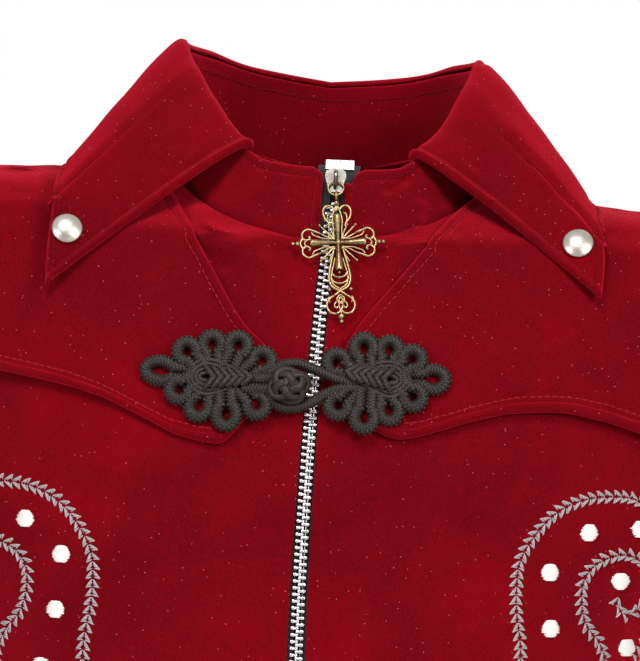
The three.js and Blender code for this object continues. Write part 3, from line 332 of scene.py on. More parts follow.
def cloth(
    name, grid, thickness, material, free=(), sewn=(), closed=False, relief=0, welt=0.45, stitchAt=4.6,
    shift=0,
):
    # a closed wall on a grid: the faces meet in a half round at a free edge, which is puffed between edge and
    # stitching and pinched along it, and a sewn edge sinks into its seam
    normals = gridNormals(grid, closed)
    away = edgeDistances(grid)
    swell, edgeRound = np.zeros(grid.shape[:2]), np.ones(grid.shape[:2])
    uneven = ripple(grid, 13, 3)
    for edge in free:
        d = away[edge]
        halfRound = np.sqrt(1 - (1 - np.clip(d / (0.75 * thickness) + 0.012, 0, 1)) ** 2)
        edgeRound = np.minimum(edgeRound, halfRound)
        swell += welt * bump(d, stitchAt * 0.45, stitchAt * 0.34) * (1 + 0.35 * uneven)
        swell -= 0.5 * bump(d, stitchAt, 0.8) * (1 + 0.25 * ripple(grid, 3.4, 5))
        swell += 0.22 * bump(d, stitchAt + 3, 2.2) * uneven
    for edge in sewn:
        d = away[edge]
        swell -= 0.8 * np.exp(-d / 1.1)
        swell += 0.35 * bump(d, 4, 2.6) * (1 + uneven)
    shift = np.broadcast_to(np.asarray(shift, float), grid.shape[:2])
    outer = grid + normals * (shift + relief + thickness / 2 + thickness / 2 * edgeRound + swell)[..., None]
    inner = grid + normals * (shift + relief + thickness / 2 - thickness / 2 * edgeRound)[..., None]
    rows, columns = grid.shape[:2]
    half = rows * columns
    faces = [gridFaces(rows, columns, closed), gridFaces(rows, columns, closed, half, flip=True)]
    j = np.arange(columns if closed else columns - 1)
    k = (j + 1) % columns
    top = (rows - 1) * columns
    faces.append(np.stack([half + j, half + k, k, j], axis=-1))
    faces.append(np.stack([top + j, top + k, half + top + k, half + top + j], axis=-1))
    if not closed:
        a = np.arange(rows - 1) * columns
        b = a + columns - 1
        faces.append(np.stack([half + a, a, a + columns, half + a + columns], axis=-1))
        faces.append(np.stack([b, half + b, half + b + columns, b + columns], axis=-1))
    piece = addMesh(name, np.concatenate([outer.reshape(-1, 3), inner.reshape(-1, 3)]), faces, material)
    return piece, outer


def tube(path, radius, reference, sides=12, squash=1.0):
    # a round section carried along a path: centre + radius (cos t across + squash sin t outwards)
    path = np.asarray(path, float)
    tangent = unit(np.gradient(path, axis=0))
    across = unit(np.cross(tangent, np.broadcast_to(reference, path.shape)))
    outwards = np.cross(across, tangent)
    turn = np.linspace(0, 2 * math.pi, sides, endpoint=False)
    if np.ndim(radius) == 1:
        radius = np.asarray(radius, float).reshape(-1, 1)
    radius = np.broadcast_to(radius, (len(path), sides))
    cosine, sine = np.cos(turn)[None, :, None], squash * np.sin(turn)[None, :, None]
    ring = cosine * across[:, None] + sine * outwards[:, None]
    points = (path[:, None] + ring * radius[..., None]).reshape(-1, 3)
    caps = np.stack([np.arange(sides)[::-1], (len(path) - 1) * sides + np.arange(sides)])
    return points, [gridFaces(len(path), sides, closed=True)[:, ::-1], caps[:, ::-1]]


def ball(centre, radius, rings=7, sides=10):
    # a globe as rings of latitude between two flat caps
    lat = np.linspace(-0.46 * math.pi, 0.46 * math.pi, rings)
    lon = np.linspace(0, 2 * math.pi, sides, endpoint=False)
    level = np.cos(lat)[:, None]
    points = np.stack([level * np.cos(lon), level * np.sin(lon), np.sin(lat)[:, None] + 0 * lon], axis=-1)
    caps = np.stack([np.arange(sides)[::-1], (rings - 1) * sides + np.arange(sides)])
    return points.reshape(-1, 3) * radius + np.asarray(centre), [gridFaces(rings, sides, closed=True), caps]


def gather(parts):
    # several (points, faceGroups) as one list of points and one of face groups
    offset, points, faces = 0, [], []
    for p, groups in parts:
        points.append(p)
        faces += [np.asarray(g) + offset for g in groups]
        offset += len(p)
    return np.concatenate(points), faces


def scattered(shape, origins, axes):
    # copies of one small shape, each turned to its own three axes (rows of a matrix) and put at its origin
    points, groups = shape
    placed = np.einsum("pk,nkc->npc", points, axes) + origins[:, None]
    shifts = (np.arange(len(origins)) * len(points))[:, None, None]
    faces = [(group[None] + shifts).reshape(-1, group.shape[1]) for group in map(np.asarray, groups)]
    return placed.reshape(-1, 3), faces


def resampled(path, pitch, extra=None):
    # points a pitch apart along a path, with their directions, and anything else carried along it
    run = np.concatenate([[0], np.cumsum(np.linalg.norm(np.diff(path, axis=0), axis=-1))])
    at = np.arange(pitch / 2, run[-1], pitch)

    def pick(values, places):
        return np.stack([np.interp(places, run, column) for column in values.T], axis=-1)

    ahead = pick(path, at + 0.2) - pick(path, at - 0.2)
    return pick(path, at), unit(ahead), (None if extra is None else unit(pick(extra, at)))


def smoothPath(points, count):
    # a curve through points: Catmull-Rom pieces sampled evenly
    p = np.asarray(points, float)
    p = np.concatenate([2 * p[:1] - p[1:2], p, 2 * p[-1:] - p[-2:-1]])
    t = np.linspace(0, len(p) - 3, count)
    i = np.minimum(t.astype(int), len(p) - 4)
    f = (t - i)[:, None]
    a, b, c, d = p[i], p[i + 1], p[i + 2], p[i + 3]
    return 0.5 * (2 * b + (c - a) * f + (2 * a - 5 * b + 4 * c - d) * f**2 + (3 * b - a - 3 * c + d) * f**3)


# shader node groups and materials
def socketed(name, inputs, outputs):
    group = bpy.data.node_groups.new(name, "ShaderNodeTree")
    for label, kind, value in inputs:
        socket = group.interface.new_socket(label, in_out="INPUT", socket_type=kind)
        socket.default_value = value
    for label, kind in outputs:
        group.interface.new_socket(label, in_out="OUTPUT", socket_type=kind)
    return group, group.nodes.new("NodeGroupInput"), group.nodes.new("NodeGroupOutput")


pileLook = {
    "pile": 2600.0, "patch": 16.0, "streak": (
        420, 420, 60
    ), "streakShare": 0.1, "tuft": 1100.0, "tuftShare": 0.42,
    "spread": (0.24, 0.76), "speckCell": 400.0, "speckSize": 0.088,
}


def makePile():
    # short pile: fine height, a mask of brushed patches, streaks and tufts, and a mask of lint specks
    group, given, out = socketed(
        "pile",
        [
            ("Pile Scale", "NodeSocketFloat", pileLook["pile"]),
            ("Patch Scale", "NodeSocketFloat", pileLook["patch"]),
            ("Lint", "NodeSocketFloat", 0.5),
        ],
        [("Height", "NodeSocketFloat"), ("Brushed", "NodeSocketFloat"), ("Lint", "NodeSocketFloat")],
    )
    link = group.links.new
    place = node(group, "ShaderNodeTexCoord")
    fine = node(group, "ShaderNodeTexNoise", Detail=2.0)
    link(place.outputs["Object"], fine.inputs["Vector"])
    link(given.outputs["Pile Scale"], fine.inputs["Scale"])
    link(fine.outputs["Fac"], out.inputs["Height"])
    patch = node(group, "ShaderNodeTexNoise", Detail=4.0, Distortion=0.6, Roughness=0.55)
    link(place.outputs["Object"], patch.inputs["Vector"])
    link(given.outputs["Patch Scale"], patch.inputs["Scale"])
    streak = node(group, "ShaderNodeMapping")
    streak.inputs["Scale"].default_value = pileLook["streak"]
    link(place.outputs["Object"], streak.inputs["Vector"])
    nap = node(group, "ShaderNodeTexNoise", Scale=1.0, Detail=2.0)
    link(streak.outputs["Vector"], nap.inputs["Vector"])
    both = node(group, "ShaderNodeMix", data_type="FLOAT")
    both.inputs["Factor"].default_value = pileLook["streakShare"]
    link(patch.outputs["Fac"], both.inputs["A"])
    link(nap.outputs["Fac"], both.inputs["B"])
    tufts = node(group, "ShaderNodeTexNoise", Scale=pileLook["tuft"], Detail=3.0)
    link(place.outputs["Object"], tufts.inputs["Vector"])
    grained = node(group, "ShaderNodeMix", data_type="FLOAT")
    grained.inputs["Factor"].default_value = pileLook["tuftShare"]
    link(both.outputs["Result"], grained.inputs["A"])
    link(tufts.outputs["Fac"], grained.inputs["B"])
    spread = node(group, "ShaderNodeMapRange", interpolation_type="SMOOTHSTEP")
    spread.inputs["From Min"].default_value = pileLook["spread"][0]
    spread.inputs["From Max"].default_value = pileLook["spread"][1]
    link(grained.outputs["Result"], spread.inputs["Value"])
    link(spread.outputs["Result"], out.inputs["Brushed"])
    cell = node(group, "ShaderNodeTexVoronoi", Scale=pileLook["speckCell"], Randomness=1.0)
    link(place.outputs["Object"], cell.inputs["Vector"])
    near = node(group, "ShaderNodeMath", operation="LESS_THAN")
    near.inputs[1].default_value = pileLook["speckSize"]
    link(cell.outputs["Distance"], near.inputs[0])
    pickOne = node(group, "ShaderNodeSeparateColor")
    link(cell.outputs["Color"], pickOne.inputs["Color"])
    rare = node(group, "ShaderNodeMath", operation="LESS_THAN")
    link(given.outputs["Lint"], rare.inputs[1])
    link(pickOne.outputs["Red"], rare.inputs[0])
    speck = node(group, "ShaderNodeMath", operation="MULTIPLY")
    link(near.outputs["Value"], speck.inputs[0])
    link(rare.outputs["Value"], speck.inputs[1])
    link(speck.outputs["Value"], out.inputs["Lint"])
    return group


def makeFibresAndCreviceShade():
    # thread: a mask of painted shade, low in the hollows between strands and stitches, mixed with a fine
    # grain
    group, given, out = socketed(
        "fibresAndCreviceShade",
        [
            ("Grain Scale", "NodeSocketFloat", 2500.0), ("Low", "NodeSocketFloat", 0.49),
            ("High", "NodeSocketFloat", 0.58),
        ],
        [("GrainAndShade", "NodeSocketFloat")],
    )
    link = group.links.new
    place = node(group, "ShaderNodeTexCoord")
    grain = node(group, "ShaderNodeTexNoise", Detail=2.0)
    link(place.outputs["Object"], grain.inputs["Vector"])
    link(given.outputs["Grain Scale"], grain.inputs["Scale"])
    # painted shade: pointiness lowers the mask in the hollows between strands and stitches
    surface = node(group, "ShaderNodeNewGeometry")
    raised = node(group, "ShaderNodeMapRange")
    link(given.outputs["Low"], raised.inputs["From Min"])
    link(given.outputs["High"], raised.inputs["From Max"])
    link(surface.outputs["Pointiness"], raised.inputs["Value"])
    both = node(group, "ShaderNodeMix", data_type="FLOAT")
    both.inputs["Factor"].default_value = 0.7
    link(grain.outputs["Fac"], both.inputs["A"])
    link(raised.outputs["Result"], both.inputs["B"])
    link(both.outputs["Result"], out.inputs["GrainAndShade"])
    return group


def makeTarnish():
    # worn metal: a mask that is high in hollows and dull places
    group, given, out = socketed(
        "tarnish",
        [("Spot Scale", "NodeSocketFloat", 900.0), ("Amount", "NodeSocketFloat", 0.5)],
        [("Mask", "NodeSocketFloat"), ("Height", "NodeSocketFloat")],
    )
    link = group.links.new
    place = node(group, "ShaderNodeTexCoord")
    spots = node(group, "ShaderNodeTexNoise", Detail=3.0, Roughness=0.6)
    link(place.outputs["Object"], spots.inputs["Vector"])
    link(given.outputs["Spot Scale"], spots.inputs["Scale"])
    cavity = node(group, "ShaderNodeNewGeometry")
    hollow = node(group, "ShaderNodeMapRange")
    hollow.inputs["From Min"].default_value = 0.56
    hollow.inputs["From Max"].default_value = 0.44
    link(cavity.outputs["Pointiness"], hollow.inputs["Value"])
    total = node(group, "ShaderNodeMath", operation="MULTIPLY_ADD")
    link(spots.outputs["Fac"], total.inputs[0])
    link(given.outputs["Amount"], total.inputs[1])
    link(hollow.outputs["Result"], total.inputs[2])
    limit = node(group, "ShaderNodeClamp")
    link(total.outputs[0], limit.inputs["Value"])
    link(limit.outputs[0], out.inputs["Mask"])
    link(spots.outputs["Fac"], out.inputs["Height"])
    return group


pile, fibresAndCreviceShade, tarnish = makePile(), makeFibresAndCreviceShade(), makeTarnish()


def newMaterial(name, roughness, metallic=0.0, **extra):
    material = bpy.data.materials.new(name)
    material.use_nodes = True
    shader = material.node_tree.nodes["Principled BSDF"]
    shader.inputs["Roughness"].default_value = roughness
    shader.inputs["Metallic"].default_value = metallic
    for label, value in extra.items():
        shader.inputs[label.replace("_", " ")].default_value = value
    return material, material.node_tree, shader


def bumped(tree, shader, height, strength, distance):
    made = node(tree, "ShaderNodeBump", Strength=strength, Distance=distance)
    tree.links.new(height, made.inputs["Height"])
    tree.links.new(made.outputs["Normal"], shader.inputs["Normal"])


# the rim colour is a painted sheen, mixed into the base colour where the cloth is seen from the side; the two
# limits after it set where that painted sheen starts and where it is full
velvetLook = {
    "low": (0.085, 0.0004, 0.0025), "high": (0.20, 0.0008, 0.005), "rim": (0.36, 0.004, 0.014),
    "speck": (0.38, 0.085, 0.105), "lint": 0.5, "paintedSheenFrom": 0.12, "paintedSheenTo": 0.8,
    "roughness": 0.95, "sheen": 0.36, "sheenRoughness": 0.3, "sheenTint": (1.0, 0.04, 0.1), "gloss": 0.05,
    "bump": 0.6, "pileDepth": 0.0005,
}


def velvetMaterial(name, look):
    # pile with painted sheen: dark where the cloth is seen face on, and mixed towards the painted sheen
    # colour (rim) where it is seen from the side
    material, tree, shader = newMaterial(
        name, look["roughness"], Sheen_Weight=look["sheen"], Sheen_Roughness=look["sheenRoughness"],
        Sheen_Tint=(*look["sheenTint"], 1), Specular_IOR_Level=look["gloss"],
    )
    group = node(tree, "ShaderNodeGroup", node_tree=pile)
    group.inputs["Lint"].default_value = look["lint"]
    shade = node(tree, "ShaderNodeMix", data_type="RGBA")
    shade.inputs["A"].default_value = (*look["low"], 1)
    shade.inputs["B"].default_value = (*look["high"], 1)
    tree.links.new(group.outputs["Brushed"], shade.inputs["Factor"])
    # painted sheen: the facing weight mixes the rim colour into the base colour towards grazing view
    aslant = node(tree, "ShaderNodeLayerWeight", Blend=0.5)
    share = node(tree, "ShaderNodeMapRange", interpolation_type="SMOOTHSTEP")
    share.inputs["From Min"].default_value = look["paintedSheenFrom"]
    share.inputs["From Max"].default_value = look["paintedSheenTo"]
    tree.links.new(aslant.outputs["Facing"], share.inputs["Value"])
    turned = node(tree, "ShaderNodeMix", data_type="RGBA")
    turned.inputs["B"].default_value = (*look["rim"], 1)
    tree.links.new(share.outputs["Result"], turned.inputs["Factor"])
    tree.links.new(shade.outputs["Result"], turned.inputs["A"])
    specks = node(tree, "ShaderNodeMix", data_type="RGBA")
    specks.inputs["B"].default_value = (*look["speck"], 1)
    tree.links.new(turned.outputs["Result"], specks.inputs["A"])
    tree.links.new(group.outputs["Lint"], specks.inputs["Factor"])
    tree.links.new(specks.outputs["Result"], shader.inputs["Base Color"])
    bumped(tree, shader, group.outputs["Height"], look["bump"], look["pileDepth"])
    return material


def threadMaterial(name, dark, pale, roughness, **extra):
    # painted shade: dark in the hollows between the strands and pale on their tops, broken by a fine grain
    material, tree, shader = newMaterial(name, roughness, **extra)
    group = node(tree, "ShaderNodeGroup", node_tree=fibresAndCreviceShade)
    shade = node(tree, "ShaderNodeMix", data_type="RGBA")
    shade.inputs["A"].default_value = (*dark, 1)
    shade.inputs["B"].default_value = (*pale, 1)
    tree.links.new(group.outputs["GrainAndShade"], shade.inputs["Factor"])
    tree.links.new(shade.outputs["Result"], shader.inputs["Base Color"])
    return material


def metalMaterial(name, bright, dull, roughness, amount, scale):
    # bright where handled and dull in the hollows
    material, tree, shader = newMaterial(name, roughness, 1.0)
    group = node(tree, "ShaderNodeGroup", node_tree=tarnish)
    group.inputs["Amount"].default_value = amount
    group.inputs["Spot Scale"].default_value = scale
    shade = node(tree, "ShaderNodeMix", data_type="RGBA")
    shade.inputs["A"].default_value = (*bright, 1)
    shade.inputs["B"].default_value = (*dull, 1)
    tree.links.new(group.outputs["Mask"], shade.inputs["Factor"])
    tree.links.new(shade.outputs["Result"], shader.inputs["Base Color"])
    bumped(tree, shader, group.outputs["Height"], 0.12, 0.0001)
    return material


velvet = velvetMaterial("velvet", velvetLook)
# in each thread material, dark is the painted shade in the hollows between strands and pale is the strands'
# tops, both broken by a fine grain
redThread = threadMaterial(
    "redThread", dark=(0.24, 0.007, 0.013), pale=(0.42, 0.016, 0.026), roughness=0.6, Specular_IOR_Level=0.12
)
darkThread = threadMaterial(
    "darkThread", dark=(0.11, 0.002, 0.004), pale=(0.22, 0.006, 0.010), roughness=0.6, Specular_IOR_Level=0.12
)
greyThread = threadMaterial(
    "greyThread", dark=(0.24, 0.215, 0.22), pale=(0.72, 0.67, 0.675), roughness=0.45, Sheen_Weight=0.2
)
whiteThread = threadMaterial("whiteThread", dark=(0.72, 0.71, 0.66), pale=(0.9, 0.89, 0.85), roughness=0.5)
braidCord = threadMaterial(
    "braidCord", dark=(0.0012, 0.001, 0.0009), pale=(
        0.045, 0.035, 0.028
    ), roughness=0.42, Specular_IOR_Level=0.22
)
zipCloth = threadMaterial("zipCloth", dark=(0.010, 0.010, 0.011), pale=(0.028, 0.028, 0.030), roughness=0.85)
nickel = metalMaterial(
    "nickel", bright=(0.80, 0.76, 0.69), dull=(0.42, 0.38, 0.33), roughness=0.36, amount=0.45, scale=700
)
toothMetal = metalMaterial(
    "toothMetal", bright=(0.74, 0.74, 0.76), dull=(0.2, 0.2, 0.21), roughness=0.24, amount=0.4, scale=900
)
sliderMetal = metalMaterial(
    "sliderMetal", bright=(0.19, 0.172, 0.16), dull=(0.05, 0.045, 0.04), roughness=0.3, amount=0.7, scale=900
)
stopMetal = metalMaterial(
    "stopMetal", bright=(0.34, 0.33, 0.32), dull=(0.17, 0.16, 0.15), roughness=0.34, amount=0.4, scale=900
)
oldBrass = metalMaterial(
    "oldBrass", bright=(0.56, 0.41, 0.20), dull=(0.07, 0.045, 0.018), roughness=0.34, amount=0.95, scale=1300
)
print("materials made")

# creases of the fronts, as seen from the front: soft ridges (+) and troughs (-) along lines
creases = [
    {"path": [(-47, -31), (-47.5, -43), (-34, -50), (-13, -44)], "height": 2.4, "width": 4.2},
    {"path": [(-34, -50), (-25, -55), (-14.5, -57.5)], "height": 1.7, "width": 3.4},
    {"path": [(-52, -36), (-52.5, -46), (-41, -55), (-30, -60)], "height": -1.6, "width": 3.2},
    {"path": [(39, -15), (31, -20.5), (26.5, -25)], "height": -1.9, "width": 1.8},
    {"path": [(42.5, -26), (39.5, -33), (38, -47)], "height": 1.6, "width": 3.2},
    {"path": [(25, -50.5), (42, -46)], "height": 1.3, "width": 3.0},
    {"path": [(-98, -141), (-70, -139), (-42, -140)], "height": 2.0, "width": 6.0},
    {"path": [(-92, -152), (-66, -156), (-36, -154)], "height": -1.0, "width": 6.0},
    {"path": [(44, -133), (70, -130), (104, -134)], "height": 1.4, "width": 6.0},
    {"path": [(-24, -170), (-46, -186), (-88, -196)], "height": 1.2, "width": 7.0},
    {"path": [(22, -176), (50, -190), (92, -194)], "height": 1.2, "width": 7.0},
    {"path": [(-140, -212), (-112, -232), (-92, -262)], "height": 1.8, "width": 6.0},
    {"path": [(140, -212), (116, -236), (98, -270)], "height": 1.6, "width": 6.0},
    {"path": [(-128, -372), (-84, -388), (-30, -392)], "height": 1.6, "width": 6.0},
    {"path": [(126, -380), (80, -396), (26, -398)], "height": 1.8, "width": 6.0},
    {"path": [(-120, -408), (-70, -420), (-24, -418)], "height": 1.4, "width": 5.0},
    {"path": [(118, -420), (70, -430), (30, -426)], "height": 1.2, "width": 5.0},
]


def creaseAt(points, lines):
    # sum over the lines of height x a bell of the distance from the line, fading at both of its ends
    flat, total = points[..., [0, 2]], np.zeros(points.shape[:-1])
    for line in lines:
        path = smoothPath(line["path"], 14)
        run = np.linspace(0, 1, len(path))
        a, b = path[:-1], path[1:]
        ab = b - a
        t = np.clip(((flat[..., None, :] - a) * ab).sum(-1) / (ab**2).sum(-1), 0, 1)
        distance = np.linalg.norm(flat[..., None, :] - (a + t[..., None] * ab), axis=-1)
        best = distance.argmin(axis=-1)
        share = np.take_along_axis(run[:-1] + t * np.diff(run), best[..., None], -1)[..., 0]
        fade = smooth(0, 0.22, share) * smooth(1, 0.72, share)
        total += line["height"] * fade * np.exp(-((distance.min(axis=-1) / line["width"]) ** 2))
    return total


# fronts and backs
def outerAngle(z, column):
    # angle of the side seam, and of the armhole where there is one
    inside = (z > -cut["armpit"]) & (z < -cut["shoulderDrop"])
    return np.where(inside, angleAtWidth(along(armhole, column, z), z), math.pi / 2)


sideNames = {1: "left", -1: "right"}
bodyHeights = np.unique(np.concatenate([
    -470 + 50 * spaced(50, 3, (True, False)), np.linspace(-420, -160, 66), np.linspace(
        -160, -41, 92
    ), np.linspace(-41, -1.6, 36),
    [-215.0, -214.6, -37.0, -37.4],
]))
tailSeam = -470
tailHeights = cut["tail"] + (tailSeam - cut["tail"]) * spaced(tailSeam - cut["tail"], 4.5)[:-1]
tail = {"z": [-985, -900, -750, -600, -500, -442], "angle": [150, 143, 128, 112, 97, 90]}


def facing(grid, side):
    # rows run the other way on the wearer's right, so that faces point outwards
    return grid if side > 0 else grid[:, ::-1]


def frontGrid(side, columns):
    # front: angle from the zip (or neck seam) to the side, armhole or shoulder seam, row by row up the body
    z = bodyHeights[:, None]
    width = sectionAt(z)[0]
    toNeck = angleAtWidth(neck["width"] * np.sin(frontNeckAngle(z)), z)
    edge = gap["zip"] - gap["teeth"] * smooth(-260, -110, z)
    toZip = angleAtWidth(edge + side * along(lean, "zip", z), z)
    start = np.where(z > -neck["frontDrop"], toNeck, toZip)
    end = np.maximum(outerAngle(z, "front") - gap["seam"] / 2 / width, start + 0.02)
    hem = mix(cut["hem"], cut["hemSide"], smooth(0, 1, columns)) - tailSeam
    return formAt(mix(start, end, columns), z + hem * (1 - smooth(tailSeam, -400, z)), side)


def backGrid(side, columns):
    # back: angle from the centre back seam to the side, armhole or shoulder seam; below the waist, the tail
    z = np.concatenate([tailHeights, bodyHeights])[:, None]
    width = sectionAt(z)[0]
    vent = 1 + 7 * smooth(-440, -900, z)
    middle = math.pi - np.arcsin((gap["seam"] * vent / 2 / width) ** (cut["power"] / 2))
    neckEdge = math.pi - angleAtWidth(neck["width"] * np.clip(1 + z / neck["backDrop"], 0, 1), z)
    start = np.where(z > -neck["backDrop"], neckEdge, middle)
    sideEdge = math.pi - outerAngle(z, "back") + gap["seam"] / 2 / width
    end = np.minimum(np.where(z < cut["hemSide"], along(tail, "angle", z) * deg, sideEdge), start - 0.02)
    hem = (cut["tailEdge"] - cut["tail"]) * columns * (1 - smooth(cut["tail"], -700, z))
    return formAt(mix(start, end, columns), z + hem, side)


# widths and pitches of the grids; heights of the waves in the cloth, and the width that they are laid out on
body = {"frontWidth": 215, "frontPitch": 2.1, "backWidth": 235, "backPitch": 3.4}
placket = {"groove": 0.7, "grooveAt": 8.3, "roll": 0.5, "rollAt": 4.6, "ease": 0.4, "easeAt": 12}
outers = {}


def frontWaves(points):
    # creases and quiet unevenness of the fronts; the embroidery lies on the same waves
    return creaseAt(points, creases) + 0.25 * ripple(points, 38, 21) + 0.1 * ripple(points, 14, 22)


for side, name in sideNames.items():
    columns = spaced(body["frontWidth"], body["frontPitch"])
    grid = facing(frontGrid(side, columns), side)
    away = edgeDistances(grid)["start" if side > 0 else "end"]
    edgeRoll = -placket["groove"] * bump(away, placket["grooveAt"], 0.9)
    edgeRoll = edgeRoll + placket["roll"] * bump(away, placket["rollAt"], 2.4) * (
        1 + 0.8 * ripple(grid, 15, 8)
    )
    edgeRoll = edgeRoll + placket["ease"] * bump(away, placket["easeAt"], 3) * ripple(grid, 10, 9)
    relief = frontWaves(grid) + edgeRoll * smooth(-45, -50, grid[..., 2])
    front, outer = cloth(
        f"front_shell_{name}", grid, thick["cloth"], velvet, free=["bottom"],
        sewn=["top", "end" if side > 0 else "start"], relief=relief,
    )
    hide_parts(f"front_{name}")
    grid = facing(backGrid(side, spaced(body["backWidth"], body["backPitch"])), -side)
    fromWaist = np.abs(grid[..., 2] - tailSeam)
    relief = 0.35 * ripple(grid, 46, 31) + 0.12 * ripple(grid, 17, 32)
    relief = relief - 0.8 * np.exp(-fromWaist / 1.1) + 0.35 * bump(fromWaist, 4, 2.6)
    back, outer = cloth(
        f"back_shell_{name}", grid, thick["cloth"], velvet, free=["bottom"], sewn=[
            "top", "start", "end"
        ], relief=relief
    )
    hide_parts(f"back_{name}", f"tail_{name}")
print("fronts and backs made")

# sleeves
sleeve = {
    "z": [-240, -300, -360, -430, -500, -560, -632],
    "x": [214, 223, 232, 242, 252, 260, 270],
    "y": [6, 9, 8, 0, -12, -24, -40],
    "width": [44, 43, 41, 39, 37, 36, 35],
    "depth": [61, 56, 50, 45, 42, 40, 38],
    "around": 110, "pitch": 3.2,
}


def sleeveSection(turn, z):
    # level ovals down the arm, pinched in at the crook of the elbow
    row = {column: along(sleeve, column, z) for column in ("x", "y", "width", "depth")}
    elbow = 3 * bump(z, -352, 9) + 2.5 * bump(z, -384, 10)
    elbow = elbow + 1.2 * bump(z + 9 * np.sin(turn), -322, 8) + 1.4 * bump(z - 8 * np.cos(turn), -420, 8)
    inFront = np.maximum(0, np.sin(turn)) * np.maximum(0, -np.cos(turn) + 0.6)
    out = 1 - elbow * inFront / 45
    x = row["x"] + row["width"] * np.cos(turn) * out
    y = row["y"] - row["depth"] * np.sin(turn) * out
    return np.stack(np.broadcast_arrays(x, y, z + 0 * turn), axis=-1)


def capSection(turn, share, side):
    # sleeve cap: cubic Bezier lines from the armhole out and down to the top section of the arm
    z = mix(-cut["shoulderDrop"], -cut["armpit"], (1 - np.cos(turn)) / 2)
    isFront = np.sin(turn) >= 0
    angle = np.where(isFront, outerAngle(z, "front"), math.pi - outerAngle(z, "back"))
    start = formAt(angle, z, side)
    start[..., 0] = side * (start[..., 0] - along(lean, "body", z))
    end = sleeveSection(turn, np.full_like(turn, sleeve["z"][0]))
    low = (1 - np.cos(turn)) / 2
    leaving = np.stack(
        [np.ones_like(turn), 0.45 * np.sin(turn) * (1 - low * 0.6), mix(-0.05, 0.3, low)], axis=-1
    )
    start = start + leaving * 0.45
    reach = np.linalg.norm(end - start, axis=-1)
    second = start + leaving * (reach * mix(0.3, 0.32, low))[..., None]
    third = end + np.stack([np.full_like(turn, -3), 0 * turn, reach * mix(0.5, 0.3, low)], axis=-1)
    s = share[..., None]
    return (1 - s) ** 3 * start + 3 * (1 - s) ** 2 * s * second + 3 * (1 - s) * s**2 * third + s**3 * end


def sleeveGrid(side):
    # rings closer together beside the armhole seam and the cuff's edge
    turn = np.linspace(0, 2 * math.pi, sleeve["around"], endpoint=False)[None]
    shares = np.concatenate(
        [[0, 0.01, 0.022, 0.036, 0.052, 0.07, 0.09], np.linspace(0.11, 1, 40)[:-1]]
    )[:, None]
    armLength = sleeve["z"][0] - sleeve["z"][-1]
    heights = mix(sleeve["z"][0], sleeve["z"][-1], spaced(armLength, sleeve["pitch"], (False, True)))[:, None]
    cap = capSection(*np.broadcast_arrays(turn, shares), side)
    arm = sleeveSection(*np.broadcast_arrays(turn, heights))
    grid = np.concatenate([cap, arm])
    grid[..., 0] = side * grid[..., 0] + along(lean, "body", grid[..., 2])
    return facing(grid, side)


for side, name in sideNames.items():
    grid = sleeveGrid(side)
    relief = 0.5 * ripple(grid, 52, 41 + side) + 0.15 * ripple(grid, 18, 44)
    relief = relief * smooth(0, 20, edgeDistances(grid)["bottom"])
    piece, outer = cloth(
        f"sleeve_shell_{name}", grid, thick["cloth"], velvet,
        free=["top"], sewn=["bottom"], closed=True, relief=relief
    )
    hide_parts(f"sleeve_upper_{name}", f"sleeve_under_{name}")
print("sleeves made")

# collar
fold = {
    "turn": [0, 10, 26, 36, 45, 54, 67, 85, 120, 150, 180],
    "z": [-15.5, -15, -13, -7, 0, 9, 22.5, 33.5, 32, 27, 23.5],
}
leafEdge = {
    "turn": [32, 43, 56, 70, 88, 105, 120, 150, 180],
    "x": [111.5, 112, 111.5, 110, 107, 101, 88, 52, 0],
    "z": [-66, -54, -43, -33.5, -28.3, -27.5, -29, -39, -45],
}
collar = {
    "foldWidth": 62, "foldFront": 64, "foldBack": 62, "middleWidth": 68, "start": 32,
    "foldSkew": 1.4, "tipSkew": 2, "corner": 7, "standWall": 2.0, "standStitch": 4.2, "leafWelt": 0.85,
}
setBack = {"past": [0, 0.03, 0.07, 0.13, 0.5, 0.83], "out": [0, -0.11, -0.77, -1.68, -2.45, -2.7]}


def ringPoint(turn, width, front, back, z, side):
    # an oval about the neck, its front and back halves of different depth
    y = np.where(np.cos(turn) > 0, -front * np.cos(turn), -back * np.cos(turn))
    return np.stack(np.broadcast_arrays(side * width * np.sin(turn) + along(lean, "body", z), y, z), axis=-1)


def foldPoint(turn, side):
    # the line on which the leaf folds over the stand
    z = along(fold, "z", turn / deg, "turn") - side * collar["foldSkew"] * np.sin(turn)
    return ringPoint(turn, collar["foldWidth"], collar["foldFront"], collar["foldBack"], z, side)


def standGrid(share):
    # stand: straight lines from the neck seam up to the fold line, with round corners at the zip
    halves = []
    for side in (1, -1):
        zipShift = side * along(lean, "zip", -30.0)
        start = (gap["zip"] + 0.6 + zipShift) / collar["middleWidth"]
        turn = start + (math.pi - start) * spaced(200, 2.0, (True, False))
        if side < 0:
            turn = turn[:-1][::-1]
        drop = np.where(np.cos(turn) > 0, neck["frontDrop"], -neck["backDrop"])
        seamZ = -drop * np.cos(turn) + 0.45
        bottom = ringPoint(turn, neck["width"], neck["front"], neck["back"], seamZ, side)
        top = foldPoint(turn, side)
        zipAt = side * along(lean, "zip", top[..., 2])
        edge = (mix(gap["zip"], gap["zip"] + 1.6, share[:, None]) + zipAt) / collar["foldWidth"]
        fromEdge = np.maximum(turn - edge, 0) * collar["foldWidth"]
        rounding = 1 - np.sqrt(1 - (1 - np.minimum(fromEdge / collar["corner"], 1)) ** 2)
        corner = np.where(fromEdge < collar["corner"], rounding, 0)
        lower = (corner * collar["corner"] / np.linalg.norm(top - bottom, axis=-1))[..., None]
        grid = mix(bottom, mix(top, bottom, lower), share[:, None, None])
        out = np.broadcast_to(along(setBack, "out", turn - start, "past"), grid.shape[:2])
        halves.append((grid, out))
    return np.concatenate([halves[0][0], halves[1][0]], axis=1), np.concatenate(
        [halves[0][1], halves[1][1]], axis=1
    )


